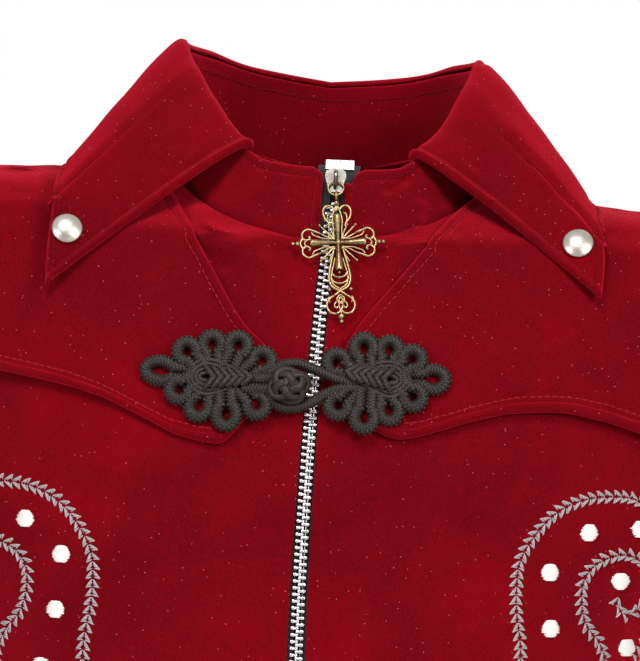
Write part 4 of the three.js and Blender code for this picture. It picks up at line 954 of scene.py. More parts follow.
def leafColumns(turn, side, share):
    # leaf: cubic Bezier lines from the fold, rolling over and sloping down to the outer edge on the shoulders
    start = foldPoint(turn, side)
    start[..., 2] += 0.3
    x = along(leafEdge, "x", turn / deg, "turn")
    level = along(leafEdge, "z", turn / deg, "turn") + side * collar["tipSkew"] * smooth(60, 32, turn / deg)
    z = level + riseAt(x, level, side) * smooth(48, 80, turn / deg)
    lift = mix(mix(7.3, 11.2, bump(turn / deg, 46, 20)), 3.4, smooth(90, 130, turn / deg))
    across = side * x + along(lean, "body", z)
    front, _ = overForm(across, z, side, lift)
    back, _ = overForm(across, z, side, lift, isBack=True)
    end = mix(front, back, smooth(84, 92, turn / deg)[:, None])
    outward = end - start
    outward[..., 2] = 0
    outward = unit(outward)
    up = np.array([0, 0, 1.0])
    roll = start + outward * 0.6 + up * 3.6
    slope = mix(start, end, 0.3) + outward * 2.5 + up * 3
    s = share[:, None, None]
    return (1 - s) ** 3 * start + 3 * (1 - s) ** 2 * s * roll + 3 * (1 - s) * s**2 * slope + s**3 * end


standShare = spaced(32, 1.2, (True, True))
grid, out = standGrid(standShare)
relief = 0.2 * ripple(grid, 24, 51) + creaseAt(grid, creases[3:5]) * (grid[..., 1] < 0)
stand, outer = cloth(
    "collar_stand_shell", grid, collar["standWall"], velvet, free=["top", "start", "end"], sewn=["bottom"],
    relief=relief, shift=out, stitchAt=collar["standStitch"],
)
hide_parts("collar_stand")
outers["stand"] = outer

leafRoll = [0, 0.012, 0.03, 0.055, 0.085, 0.12, 0.16]
leafShare = np.concatenate([leafRoll, mix(0.2, 1.0, spaced(62, 1.1, (False, True)))])
turns = collar["start"] * deg + (180 - collar["start"]) * deg * spaced(330, 2.2, (True, False))
rightHalf = leafColumns(turns, -1, leafShare)
leftHalf = leafColumns(turns[:-1], 1, leafShare)[:, ::-1]
grid = np.concatenate([rightHalf, leftHalf], axis=1)
leafCreases = [
    {"path": [(63, 31), (68, 33), (73, 36.5)], "height": -0.9, "width": 1.3},
    {"path": [(-86, -28), (-94, -38), (-98, -50)], "height": 0.5, "width": 4},
    {"path": [(74, 8), (86, -8), (96, -24)], "height": 0.7, "width": 5},
]
relief = 0.3 * ripple(grid, 34, 61) + creaseAt(grid, leafCreases)
leaf, outer = cloth(
    "collar_leaf_shell", grid, thick["collar"], velvet, free=["top", "start", "end"], relief=relief,
    welt=collar["leafWelt"],
)
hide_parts("collar_leaf")
outers["leaf"] = outer
print("collar made")

# shoulder flaps
flapOpening = {
    "z": [-105, -95, -81, -60, -42, -29, -14, -1.6],
    "left": [6, 8, 14.5, 30, 44, 57, 70.5, 74],
    "right": [8, 15, 30, 44.5, 56, 64.5, 72, 74],
}
flapHem = {
    "x": [6, 16, 25, 35, 50, 64, 82, 98, 115, 131, 152],
    "left": [-105, -114, -121, -123.9, -120.4, -115.8, -111.8, -111, -113.6, -118, -124],
    "right": [-103, -108, -117, -127, -124.8, -119, -111.8, -107.8, -104.8, -102.6, -101],
}


def onFrontParameters(x, z, side):
    # angle and height on the form of the point seen at (x, z), x from the middle of the body
    u, w = np.array(x, float), np.array(z, float)
    for step in range(12):
        angle = angleAtWidth(np.minimum(u, sectionAt(w)[0] * 0.9995), w)
        p = formAt(angle, w, side)
        u = u + (x - side * (p[..., 0] - along(lean, "body", w))) * 0.9
        w = w + (z - p[..., 2]) * 0.9
    return angle, w


def flapGrid(side, across, up):
    # flap: a patch between its four edges (opening, hem, armhole, shoulder seam), blended on the worn form
    name = sideNames[side]
    edgeX = along(armhole, "front", -108.0) - 2.5
    hemX = mix(flapHem["x"][0], edgeX, across)
    hem = onFrontParameters(hemX, along(flapHem, name, hemX, "x"), side)
    openZ = mix(flapOpening["z"][0], flapOpening["z"][-1], up)
    opening = onFrontParameters(along(flapOpening, name, openZ), openZ, side)
    armZ = mix(hem[1][-1], -cut["shoulderDrop"], up)
    arm = (angleAtWidth(along(armhole, "front", armZ) - 2.5 * (1 - up), armZ) - 0.004, armZ)
    topZ = mix(opening[1][-1], -cut["shoulderDrop"], across)
    top = (mix(opening[0][-1], math.pi / 2 - 0.004, smooth(0, 0.15, across)), topZ)
    patch = []
    for k in (0, 1):
        u, v = across[None, :], up[:, None]
        edges = (1 - v) * hem[k][None] + v * top[k][None]
        edges = edges + (1 - u) * opening[k][:, None] + u * arm[k][:, None]
        corners = (1 - v) * mix(hem[k][0], hem[k][-1], u) + v * mix(top[k][0], top[k][-1], u)
        patch.append(edges - corners)
    grid = formAt(patch[0], patch[1], side)
    normal = normalOf(patch[0], patch[1], side)
    lift = 2.5 * bump(np.minimum(v, 0.5), 0, 0.22) * smooth(0.4, 0.8, u) + 0.5 * smooth(0.75, 0.95, u)
    return grid + normal * (thick["cloth"] + gap["layer"] + lift + 0.35)[..., None]


flapCreases = [
    {"path": [(-120, -70), (-90, -84), (-62, -96)], "height": 0.9, "width": 6},
    {"path": [(-135, -84), (-104, -96), (-84, -100)], "height": -0.7, "width": 5},
    {"path": [(112, -74), (88, -88), (64, -98)], "height": 0.9, "width": 6},
    {"path": [(138, -88), (112, -100), (92, -102)], "height": -0.6, "width": 5},
]
flapStitch = {"hem": 7.8, "opening": 4.7}
for side, name in sideNames.items():
    grid = facing(flapGrid(side, spaced(180, 1.6), spaced(115, 1.5)), side)
    hemAway = edgeDistances(grid)["bottom"]
    relief = creaseAt(grid, flapCreases) + 0.3 * ripple(grid, 40, 71) + 0.12 * ripple(grid, 15, 72)
    relief = relief + 0.9 * bump(hemAway, 3.6, 3.2) * (1 + 0.4 * ripple(grid, 26, 74))
    relief = relief - 0.6 * bump(hemAway, flapStitch["hem"], 1.0)
    inner, outside = ("start", "end") if side > 0 else ("end", "start")
    piece, outer = cloth(
        f"flap_shell_{name}", grid, thick["flap"], velvet, free=["bottom", inner], sewn=[outside],
        relief=relief, welt=0.35,
    )
    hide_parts(f"flap_{name}")
    outers[f"flap_{name}"] = facing(outer, side)
print("flaps made")

# zip
zipSettings = {
    "pitch": 2.6, "toothLength": 3.3, "toothRoot": 2.65, "toothRise": 0.6, "top": -29.2, "bottom": -468.5,
    "tapeInner": 1.4, "tapeOuter": 11.4, "tapeWall": 0.8,
}


def zipPoint(z, across=0.0):
    # the zip's line down the front: on the form at its middle, and straight up the stand above the neck seam
    z = np.asarray(z, float)
    onForm = formAt(0.02, np.minimum(z, -46), 1)[..., 1]
    y = np.where(z > -46, np.interp(z, [-46, -15.5, -5], [-75, -64, -60.3]), onForm)
    x = along(lean, "body", z) + along(lean, "zip", z) + across
    return np.stack(np.broadcast_arrays(x, y, z), axis=-1)


def toothShape(length):
    # a cast tooth: a waisted bar, square on the tape and rounded at its nose, swept along its own length
    at = np.array([0, 0.15, 0.3, 1.3, 1.7, 2.6, 3.1, length])
    half = np.array([0.5, 0.68, 0.74, 0.74, 0.56, 0.66, 0.6, 0.36])
    deep = np.array([0.6, 0.85, 0.9, 0.9, 0.75, 0.8, 0.7, 0.4])
    rim = np.array([(1, -0.6), (1, 0.6), (0.6, 1), (-0.6, 1), (-1, 0.6), (-1, -0.6), (-0.6, -1), (0.6, -1)])
    sides = len(rim)
    wide, high = rim[None, :, 0] * half[:, None], rim[None, :, 1] * deep[:, None]
    points = np.stack(np.broadcast_arrays(at[:, None], wide, high), axis=-1).reshape(-1, 3)
    caps = np.stack([np.arange(sides)[::-1], (len(at) - 1) * sides + np.arange(sides)])
    return points, [gridFaces(len(at), sides, closed=True)[:, ::-1], caps[:, ::-1]]


teeth = []
for side in (1, -1):
    # the wearer's left row sits half a pitch higher, so that the teeth mesh
    lowest = zipSettings["bottom"] + (0.5 * zipSettings["pitch"] if side > 0 else 0)
    z = np.arange(lowest, zipSettings["top"], zipSettings["pitch"])
    base = zipPoint(z, side * zipSettings["toothRoot"])
    up = unit(zipPoint(z + 0.5) - zipPoint(z - 0.5))
    outwards = unit(np.cross(np.broadcast_to([1.0, 0, 0], up.shape), up))
    inwards = -side * np.cross(up, outwards)
    axes = np.stack([inwards, up * (1 if side > 0 else -1), outwards], axis=1)
    rooted = base + outwards * zipSettings["toothRise"]
    teeth.append(scattered(toothShape(zipSettings["toothLength"]), rooted, axes))
points, faces = gather(teeth)
chain = addMesh("zip_teeth", points, faces, toothMetal)
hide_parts("zip_chain")
for side, name in sideNames.items():
    z = np.concatenate([np.linspace(-478, -60, 140), np.linspace(-59, -13.2, 40)])[:, None]
    share = np.linspace(0, 1, 22)[None]
    inner = mix(zipSettings["tapeInner"], 2.4, smooth(-28, -12, z))
    across = side * mix(inner, zipSettings["tapeOuter"] - 3 * smooth(-50, -38, z), share)
    grid = zipPoint(np.broadcast_to(z, across.shape), across)
    deeper = -1.5 - 1.6 * smooth(-60, -48, z)
    cordBead = 0.5 * bump(np.broadcast_to(share, across.shape), 0.03, 0.05)
    piece, outer = cloth(
        f"zip_tape_cloth_{name}", facing(grid, side), zipSettings["tapeWall"], zipCloth,
        shift=facing(deeper + cordBead, side),
    )
    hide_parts(f"zip_tape_{name}")
for name in ("zip_slider", "zip_stop_left", "zip_stop_right", "zip_box"):
    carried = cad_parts[name]
    carried.data.materials.clear()
    carried.data.materials.append(stopMetal if "stop" in name else sliderMetal)
print("zip made")

# cross pull: drawn flat in its own frame, x across and z up, then hung from the slider's bridge
hang = {"pivot": (6.2578, -70.8523, -20.6461), "tilt": -23.43, "lean": -4.5, "centre": -27.4, "tall": 1.09}
wire = {"thick": 0.5, "middle": 0.4, "thin": 0.36, "finest": 0.34}


def hung(points):
    # turn about Y, then about X, then move to the bridge
    a, b = hang["lean"] * deg, hang["tilt"] * deg
    p = np.asarray(points, float)
    x = p[:, 0] * math.cos(a) + p[:, 2] * math.sin(a)
    z = -p[:, 0] * math.sin(a) + p[:, 2] * math.cos(a)
    y, z = p[:, 1] * math.cos(b) - z * math.sin(b), p[:, 1] * math.sin(b) + z * math.cos(b)
    return np.stack([x, y, z], axis=-1) + np.array(hang["pivot"])


def crossWire(path, radius=wire["thick"], count=28):
    # a bent wire in the cross's plane
    flat = smoothPath(path, count)
    points = np.stack([flat[:, 0], 0 * flat[:, 0], flat[:, 1] * hang["tall"]], axis=-1)
    return tube(points, radius, (0, -1.0, 0), sides=8)


def crossBead(x, z, radius, lift=0.0):
    return ball((x, -lift, z * hang["tall"]), radius)


def bowed(low, wide, rise, bend):
    # a shallow bow across the stem: two ends at the rise, its middle at low
    return [
        (-wide, low + rise), (-wide * 0.6, low + bend), (0, low), (wide * 0.6, low + bend), (wide, low + rise)
    ]


crossParts = []
sideScroll = [
    (7.6, 4.1), (9.6, 4.9), (12.0, 5.7), (14.1, 4.4), (14.3, 2.4), (12.9, 1.3), (11.4, 1.8), (11.5, 2.9)
]
topScroll = [(1.0, 13.5), (2.6, 14.9), (4.7, 14.6), (5.6, 12.6), (5.1, 10.2), (3.7, 8.4), (3.0, 6.6)]
topCurl = [(3.7, 8.4), (3.9, 10.2), (3.6, 11.6), (2.6, 12.2)]
teardrop = [
    (1.9, -2.6), (2.4, -4.8), (3.3, -8.4), (4.1, -12.2), (4.2, -15.2), (2.9, -17.8), (0, -19.4), (-2.6, -21.2)
]
innerDrop = [(1.5, -6), (2.4, -9.4), (3.2, -12.6), (3.2, -15.2), (2.1, -17.2), (0, -18.4)]
footScroll = [
    (-2.6, -21.2), (-4.7, -22.6), (-5.6, -25.2), (-4.4, -27.7), (-1.9, -28.4), (0.1, -26.8), (0.9, -25.0)
]
footCurl = [(0.9, -25.0), (-0.4, -23.6), (-2.0, -23.9), (-2.6, -25.2), (-1.8, -26.1), (-1.0, -25.5)]
armCurl = [(1.5, 1.7), (5.4, 1.7), (7.6, 2.4), (9.6, 3.2), (10.6, 4.6)]
headCurl = [(1.6, 1.6), (1.7, 6), (2.0, 9), (1.3, 12.6), (1.0, 13.6)]
leafTip = [(4.4, -21.0), (4.9, -22.6), (4.2, -24.2)]
rays = {45: (10.2, 0.58), 29: (8.4, 0.42), 61: (8.4, 0.42)}
for x in (1, -1):
    for z in (1, -1):
        crossParts.append(crossWire([(a * x, b * z) for a, b in sideScroll]))
        crossParts.append(crossBead(11.5 * x, 2.6 * z, 0.62))
        crossParts.append(crossWire([(a * x, b * z) for a, b in armCurl], wire["thin"]))
        for turn, (length, bead) in rays.items():
            tip = (length * math.cos(turn * deg) * x, length * math.sin(turn * deg) * z)
            ray = [(1.3 * x, 1.3 * z), (tip[0] * 0.6, tip[1] * 0.6), tip]
            crossParts.append(crossWire(ray, np.linspace(0.45, 0.26, 8), 8))
            crossParts.append(crossBead(tip[0], tip[1], bead))
    crossParts.append(crossWire([(14.2 * x, 2.2), (15.2 * x, 0), (14.2 * x, -2.2)]))
    crossParts.append(crossWire([(12.6 * x, 1.3), (13.5 * x, 0), (12.6 * x, -1.3)], wire["thin"]))
    crossParts += [crossBead(16.3 * x, 0, 0.98), crossBead(18.1 * x, 0, 0.85)]
    for path in (topScroll, topCurl, teardrop, innerDrop, footScroll, footCurl):
        thickness = wire["thin"] if path in (topCurl, innerDrop, footCurl) else wire["thick"]
        crossParts.append(crossWire([(a * x, b) for a, b in path], thickness, 34))
    crossParts.append(crossWire([(a * x, b) for a, b in headCurl], wire["thin"]))
    crossParts += [
        crossBead(3.3 * x, 11.9, 0.6), crossBead(4.3 * x, -18.7, 0.78), crossBead(4.7 * x, -22.2, 0.5)
    ]
    crossParts.append(
        crossWire([(a * x, b) for a, b in leafTip], np.array([0.1, 0.4, 0.55, 0.55, 0.4, 0.1]), 6)
    )
for low, wide in ((-13.9, 3.4), (-16.3, 3.7)):
    crossParts.append(crossWire(bowed(low, wide, 2.4, 0.6), wire["middle"]))
for low, wide in ((-23.6, 1.6), (-24.4, 0.9)):
    arch = [(-wide, low), (-wide * 0.8, low + 1.6), (0, low + 2.6), (wide * 0.8, low + 1.6), (wide, low)]
    crossParts.append(crossWire(arch, wire["finest"]))
crossParts.append(crossWire([(0, 12.8), (0, 15)], wire["thick"], 4))
crossParts.append(crossWire([(-1.1, 13.5), (0, 14.7), (1.1, 13.5)]))
stemBeads = {
    -11.9: 0.55, -13.9: 0.62, -16.3: 0.62, -18.6: 0.62, -29.6: 1.35, -31.6: 0.95, 16.2: 0.95, 17.6: 0.62
}
for z, radius in stemBeads.items():
    crossParts.append(crossBead(0, z, radius))
crossParts.append(crossWire([(0, -26.6), (0, -30)], wire["thick"], 4))
barAt = np.array([0.6, 1.4, 2.6, 4, 6, 8.5, 10.2, 10.9, 11.2, 11.3])
barRadius = np.array([0.75, 0.62, 0.68, 0.85, 1.1, 1.42, 1.6, 1.6, 1.3, 0.7])
for dx, dz in ((1, 0), (-1, 0), (0, 1), (0, -1)):
    path = np.stack([barAt * dx, 0 * barAt - 0.35, barAt * dz * hang["tall"]], axis=-1)
    crossParts.append(tube(path, barRadius, (0, -1.0, 0), sides=14))
    for k in (1.5, 2.7, 3.8):
        crossParts.append(crossBead(k * dx, k * dz, 0.42, 1.0))
crossParts.append(crossBead(0, 0, 1.15, 0.5))
turn = np.linspace(0, 2 * math.pi, 40)
bail = np.stack([0 * turn, 1.7 * np.cos(turn), 20.7 + 1.7 * np.sin(turn)], axis=-1)
crossParts.append(tube(bail, wire["thick"], (1.0, 0, 0), sides=8))
points, faces = gather([(hung(p + np.array([0, 0, hang["centre"]])), f) for p, f in crossParts])
crossPull = addMesh("cross_drop", points, faces, oldBrass, "zip_pull")
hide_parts("cross_pull")
jumpRing = {"radius": 3.1, "wire": 0.45}
ringPath = jumpRing["radius"] * np.stack([np.cos(turn), 0 * turn, np.sin(turn) - 1], axis=-1)
points, faces = tube(ringPath, jumpRing["wire"], (0, -1.0, 0), sides=10)
ring = addMesh("jump_ring", hung(points), faces, oldBrass, "zip_pull")
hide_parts("pull_ring")
print("cross pull made")

# braided frog
frog = {
    "radius": 2.5, "thin": 1.02, "pitch": 1.3, "thinPitch": 0.85, "halfWidth": 3.95, "beside": 2.35,
    "offset": 6.85, "step": 0.21, "loop": 2.15, "squash": 0.8,
}
frogRight = {
    "hole": [(-59.8, -99.9), (-49.5, -91.9), (-39.7, -88.8), (-29.5, -88.7), (-19.7, -94.3),
             (-51.8, -106.9), (-43.7, -112.9), (-32.9, -115.5), (-21.2, -111.5)],
    "root": [
        (-48, -101), (-43, -99), (-39, -98), (-33, -98), (-27, -101), (-45, -102), (-40, -103), (-34, -103),
        (-28, -104),
    ],
    "length": [6.5, 4.6, 4.6, 4.6, 4.4, 4.2, 5, 5.4, 4.6],
    "core": (-40.5, -101.4), "towards": 1, "turn": 2.0,
}
frogLeft = {
    "hole": [(9.9, -93.8), (20.4, -87.6), (30.5, -87.9), (39.6, -91.1), (48.1, -98.6),
             (40.4, -105.8), (31.2, -111.4), (21.6, -114.6), (11.2, -110.4)],
    "root": [
        (18, -100), (22, -98), (29, -97), (34, -97), (36, -99), (34, -100), (29, -102), (22, -102), (18, -103)
    ],
    "length": [4.2, 5, 4.6, 4.6, 5.6, 4.6, 4.8, 5.2, 4.4],
    "core": (30.5, -99.2), "towards": -1, "turn": -8.0,
}


def onBed(flat, lift):
    # points seen at (x, z) from the front, standing off both fronts; over the zip, level with its two sides
    flat = np.asarray(flat, float)
    middle = along(lean, "body", flat[:, 1])
    out = np.empty((len(flat), 3))
    lift = np.broadcast_to(lift, len(flat))
    for side in (1, -1):
        mine = (flat[:, 0] >= 2) if side > 0 else (flat[:, 0] < 2)
        if mine.any():
            x = middle[mine] + side * np.maximum(np.abs(flat[mine, 0] - middle[mine]), 8)
            out[mine] = overForm(x, flat[mine, 1], side, frog["offset"] + lift[mine])[0]
    out[:, 0] = flat[:, 0]
    return out


def braided(flat, lift, radius, columns=8, squash=1.0):
    # a plaited cord: round section whose radius rises over slanted stitches, alternating from one column to
    # the next
    fine = smoothPath(np.column_stack([flat, np.broadcast_to(lift, len(flat))]), 400)
    run = np.concatenate([[0], np.cumsum(np.linalg.norm(np.diff(fine[:, :2], axis=0), axis=-1))])
    at = np.linspace(0, run[-1], max(int(run[-1] / frog["step"]), 6))
    even = np.stack([np.interp(at, run, fine[:, k]) for k in range(3)], axis=-1)
    path = onBed(even[:, :2], even[:, 2])
    sides = columns * 3
    turn = (np.arange(sides) + 0.5) / sides * columns
    column, within = np.floor(turn), (turn % 1) * 2 - 1
    odd = column % 2
    pitch = mix(frog["thinPitch"], frog["pitch"], radius / frog["radius"])
    phase = at[:, None] / pitch + 0.5 * odd + np.where(odd > 0, -0.3, 0.3) * within
    stitch = np.abs(np.cos(math.pi * phase)) ** 0.7 * np.sqrt(1 - 0.8 * within**2)
    return tube(path, radius * (0.64 + 0.44 * stitch), (0, -1.0, 0), sides=sides, squash=squash)


def petals(half):
    # each petal: up one stem, round the hole and down the other stem, every second one over its neighbours
    parts = []
    for k, (hole, root, length) in enumerate(zip(half["hole"], half["root"], half["length"])):
        axis = np.array(hole, float) - np.array(root, float)
        axis /= np.linalg.norm(axis)
        across = np.array([-axis[1], axis[0]])
        w, beside = frog["halfWidth"], frog["beside"]
        turn = np.linspace(-140, 140, 11) * deg
        loop = np.stack([max(w, length - 0.6) * np.cos(turn), w * np.sin(turn)], axis=-1)
        stem = np.array([(-length - 5.5, -beside), (-w - 1.4, -beside)])
        local = np.concatenate([stem, loop, stem[::-1] * [1, -1]])
        flat = np.array(hole) + local[:, :1] * axis + local[:, 1:] * across
        lift = -0.5 * smooth(-w, -length - 5.5, local[:, 0]) + (0.7 if k % 2 else 0)
        parts.append(braided(flat, lift, frog["radius"], squash=frog["squash"]))
    return parts


def core(half):
    # four nested drops of thin cord, round at the far end and pointed towards the knot, under a plait of
    # short strands
    parts = []
    turn = np.linspace(0, 2 * math.pi, 26)
    c, s = math.cos(half["turn"] * deg), math.sin(half["turn"] * deg)

    def place(p):
        return np.stack([p[:, 0] * c - p[:, 1] * s, p[:, 0] * s + p[:, 1] * c], axis=-1) + half["core"]

    for k in range(4):
        a, h = 10.2 - 1.9 * k, 6.9 - 1.75 * k
        x = half["towards"] * (a * np.cos(turn) * np.where(np.cos(turn) > 0, 1.35, 0.8))
        z = h * np.sin(turn) * np.where(np.cos(turn) > 0, 1 - 0.45 * np.cos(turn), 1)
        parts.append(braided(place(np.stack([x, z], axis=-1)), 1.1 + 0.35 * k, frog["thin"], 5))
    for k in range(6):
        x = half["towards"] * (-1.5 + 2.9 * k)
        for way in (1, -1):
            ahead = half["towards"] * np.array([0, 2.0, 4.0])
            leg = np.stack([x + ahead, way * np.array([4.3, 2.1, -0.8])], axis=-1)
            lift = [2.2, 3.7 - 0.12 * k, 2.9]
            parts.append(braided(place(leg * [1, 1 - 0.07 * k]), lift, frog["thin"] * 1.22, 5))
    return parts


def bedding(half, reach, high):
    # dark pad under the core: an oval dome on the bed
    turn, ring = np.meshgrid(np.linspace(0, 2 * math.pi, 40, endpoint=False), np.linspace(0.02, 1, 10))
    x = half["core"][0] + half["towards"] * 3 + reach * ring * np.cos(turn)
    z = half["core"][1] + high * ring * np.sin(turn)
    lift = 1.4 * np.sqrt(1 - ring**2) - 1.6
    top = onBed(np.stack([x.ravel(), z.ravel()], axis=-1), lift.ravel())
    rows, columns = turn.shape
    caps = [np.arange(columns)[None, ::-1], ((rows - 1) * columns + np.arange(columns))[None]]
    return top, [gridFaces(rows, columns, closed=True)] + caps


points, faces = gather(petals(frogRight) + core(frogRight) + [bedding(frogRight, 16.5, 10)])
# knot: a Turk's head of three leads and four bights on a ball
knot = {"x": -8.6, "z": -103.4, "lift": 3.4, "radius": 6.0, "strand": 1.4, "filling": 5.1}
middle = onBed([(knot["x"], knot["z"])], knot["lift"])[0]
t = np.linspace(0, 6 * math.pi, 420, endpoint=False)
tilt = 52 * deg + 34 * deg * np.cos(4 * t / 3)
lift = knot["radius"] + 0.55 * np.sin(8 * t / 3)
level = lift * np.sin(tilt)
strand = np.stack(
    [1.2 * level * np.cos(t), -0.85 * lift * np.cos(tilt), 1.04 * level * np.sin(t)], axis=-1
) + middle
outwardsAt = unit(strand - middle)
tangent = unit(np.roll(strand, -1, axis=0) - np.roll(strand, 1, axis=0))
across = unit(np.cross(tangent, outwardsAt))
turn = np.linspace(0, 2 * math.pi, 14, endpoint=False)
cosine, sine = 1.2 * np.cos(turn)[None, :, None], 0.95 * np.sin(turn)[None, :, None]
section = across[:, None] * cosine + outwardsAt[:, None] * sine
knotPoints = (strand[:, None] + section * knot["strand"]).reshape(-1, 3)
wrap = gridFaces(len(t) + 1, 14, closed=True)[:, ::-1] % (len(t) * 14)
filling = ball(middle, knot["filling"], 9, 16)
stalks = [
    braided(np.array([(-27, z), (-20, z), (-13, z)]), [0.4, 1.0, 1.6], frog["radius"], squash=frog["squash"])
    for z in (-101.2, -105.4)
]
points, faces = gather([(points, faces), (knotPoints, [wrap]), filling] + stalks)
rightFrog = addMesh("frog_braid_right", points, faces, braidCord)
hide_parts("frog_right")
# loop: one cord from the left half, round the knot and back
loopPath = np.array([
    (22, -101), (12, -100.4), (5.6, -98.2), (0, -96.2), (-6, -94.6), (-12.5, -95.9), (-17.0, -100.2),
    (-17.3, -106.0), (-13, -111.2), (-6.5, -112.2), (0.4, -109.6), (6, -106.2), (12, -103.8), (22, -103.2),
])
loopLift = [-0.4, 0.4, 0.7, 0.8, 0.4, 0.2, 0.1, 0.1, 0.2, 0.4, 0.9, 0.8, 0.4, -0.4]
loop = braided(loopPath, loopLift, frog["loop"], squash=0.85)
points, faces = gather(petals(frogLeft) + core(frogLeft) + [bedding(frogLeft, 15.5, 10), loop])
leftFrog = addMesh("frog_braid_left", points, faces, braidCord)
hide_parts("frog_left")
print("frog made")

# snap caps: a turned profile on the leaf's own normal
capProfile = [
    (0.05, 2.75), (1.4, 2.68), (3.0, 2.4), (4.4, 1.9), (5.2, 1.45), (5.75, 1.2), (6.15, 0.95),
    (6.25, 0.5), (6.1, 0.12), (5.6, 0.0), (0.05, 0.0),
]
capSides = 56
leafOuter = outers["leaf"]
leafNormals = gridNormals(leafOuter)
for side, name in sideNames.items():
    low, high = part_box(f"snap_{name}")
    centre = np.array([(low[k] + high[k]) / 2 / mm for k in range(3)])
    nearest = np.unravel_index(np.linalg.norm(leafOuter - centre, axis=-1).argmin(), leafOuter.shape[:2])
    normal = leafNormals[nearest]
    seat = centre + normal * ((leafOuter[nearest] - centre) @ normal + 0.05)
    first = unit(np.cross(normal, [0, 0, 1.0]))
    second = np.cross(normal, first)
    turn = np.linspace(0, 2 * math.pi, capSides, endpoint=False)
    radius, height = np.array(capProfile).T
    rim = np.cos(turn)[None, :, None] * first + np.sin(turn)[None, :, None] * second
    points = seat + radius[:, None, None] * rim + height[:, None, None] * normal
    caps = [np.arange(capSides)[None, ::-1], ((len(radius) - 1) * capSides + np.arange(capSides))[None]]
    faces = [gridFaces(len(radius), capSides, closed=True)] + caps
    piece = addMesh(f"snap_cap_{name}", points.reshape(-1, 3), faces, nickel)
    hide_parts(f"snap_{name}")
print("snap caps made")

# stitching
stitch = {
    "pitch": 3.1, "length": 2.5, "radius": 0.27, "lift": 0.12, "wander": 0.06, "leaf": 4.6, "inside": 6.2
}


def threadShape(length, radius):
    # one stitch: a short rod that swells in its middle and dips into the cloth at its ends
    x = np.array([-0.5, -0.36, 0, 0.36, 0.5]) * length
    r = np.array([0.35, 0.85, 1, 0.85, 0.35]) * radius
    turn = np.linspace(0, 2 * math.pi, 6, endpoint=False)
    dip = np.array([-0.9, -0.1, 0.25, -0.1, -0.9]) * radius
    points = np.stack([
        np.repeat(x, 6), (r[:, None] * np.cos(turn)).ravel(), (
            r[:, None] * np.sin(turn) + dip[:, None]
        ).ravel(),
    ], axis=-1)
    caps = np.stack([np.arange(6)[::-1], 24 + np.arange(6)])
    return points, [gridFaces(5, 6, closed=True)[:, ::-1], caps[:, ::-1]]


def lineBeside(outer, edge, inset, trim=(0, 0)):
    # the line at one distance from an edge, measured over the cloth, with the cloth's normals
    both = np.concatenate([outer, gridNormals(outer)], axis=-1)
    if edge in ("bottom", "top"):
        both = both.transpose(1, 0, 2)
    inwards = both if edge in ("start", "bottom") else both[:, ::-1]
    run = np.cumsum(np.linalg.norm(np.diff(inwards[..., :3], axis=1), axis=-1), axis=1)
    run = np.concatenate([np.zeros((len(inwards), 1)), run], axis=1)
    k = np.clip((run < inset).sum(axis=1), 1, run.shape[1] - 1)
    rows = np.arange(len(inwards))
    t = (inset - run[rows, k - 1]) / (run[rows, k] - run[rows, k - 1])
    line = mix(inwards[rows, k - 1], inwards[rows, k], np.clip(t, 0, 1)[:, None])
    length = np.concatenate([[0], np.cumsum(np.linalg.norm(np.diff(line[:, :3], axis=0), axis=-1))])
    keep = (length >= trim[0]) & (length <= length[-1] - trim[1])
    return line[keep]


def sewn(line, radius=stitch["radius"]):
    # a row of stitches along a line, each wandering a little to the side
    points, ahead, normal = resampled(line[:, :3], stitch["pitch"], line[:, 3:])
    wobble = np.random.default_rng(len(points)).normal(0, stitch["wander"], (len(points), 1))
    across = unit(np.cross(normal, ahead))
    ahead = unit(ahead + across * wobble)
    axes = np.stack([ahead, np.cross(normal, ahead), normal], axis=1)
    return scattered(threadShape(stitch["length"], radius), points + normal * stitch["lift"], axes)


seams = {
    "topstitch_leaf": [
        lineBeside(outers["leaf"], "top", stitch["leaf"], (4, 4)),
        lineBeside(outers["leaf"], "start", stitch["leaf"], (3, 4.5)),
        lineBeside(outers["leaf"], "end", stitch["leaf"], (3, 4.5)),
    ],
    "topstitch_stand": [
        lineBeside(outers["stand"], edge, collar["standStitch"], (3, 4)) for edge in ("start", "end")
    ],
    "topstitch_flaps": [],
}
standLine = lineBeside(outers["stand"], "top", collar["standStitch"], (4, 4))
fifth = len(standLine) // 5
seams["topstitch_stand"] += [standLine[:fifth], standLine[-fifth:]]
for name in sideNames.values():
    flap = outers[f"flap_{name}"]
    seams["topstitch_flaps"].append(lineBeside(flap, "start", flapStitch["opening"], (8, 4)))
    seams["topstitch_flaps"].append(lineBeside(flap, "bottom", flapStitch["hem"], (4.5, 1)))
quiet = {"topstitch_leaf": 0.2, "topstitch_stand": 0.2}
turnedOver = np.array([1, 1, 1, -1, -1, -1])
for name, lines in seams.items():
    # normals that point to the back, on grids laid the other way round, are turned over
    outwards = [
        line * turnedOver if line[len(line) // 2, 4] > 0.2 and "leaf" not in name else line
        for line in lines
    ]
    points, faces = gather([sewn(line, quiet.get(name, stitch["radius"])) for line in outwards])
    piece = addMesh(name, points, faces, darkThread if name in quiet else redThread)
# row of stitches round the inside of the stand at the back, below its fold
insideLine = lineBeside(outers["stand"], "top", stitch["inside"])
fifth = len(insideLine) // 5
insideLine = insideLine[fifth:-fifth] * turnedOver
insideLine[:, :3] += insideLine[:, 3:] * 2.1
points, faces = sewn(insideLine, 0.22)
addMesh("stitch_stand_inside", points, faces, darkThread)
print("stitching made")

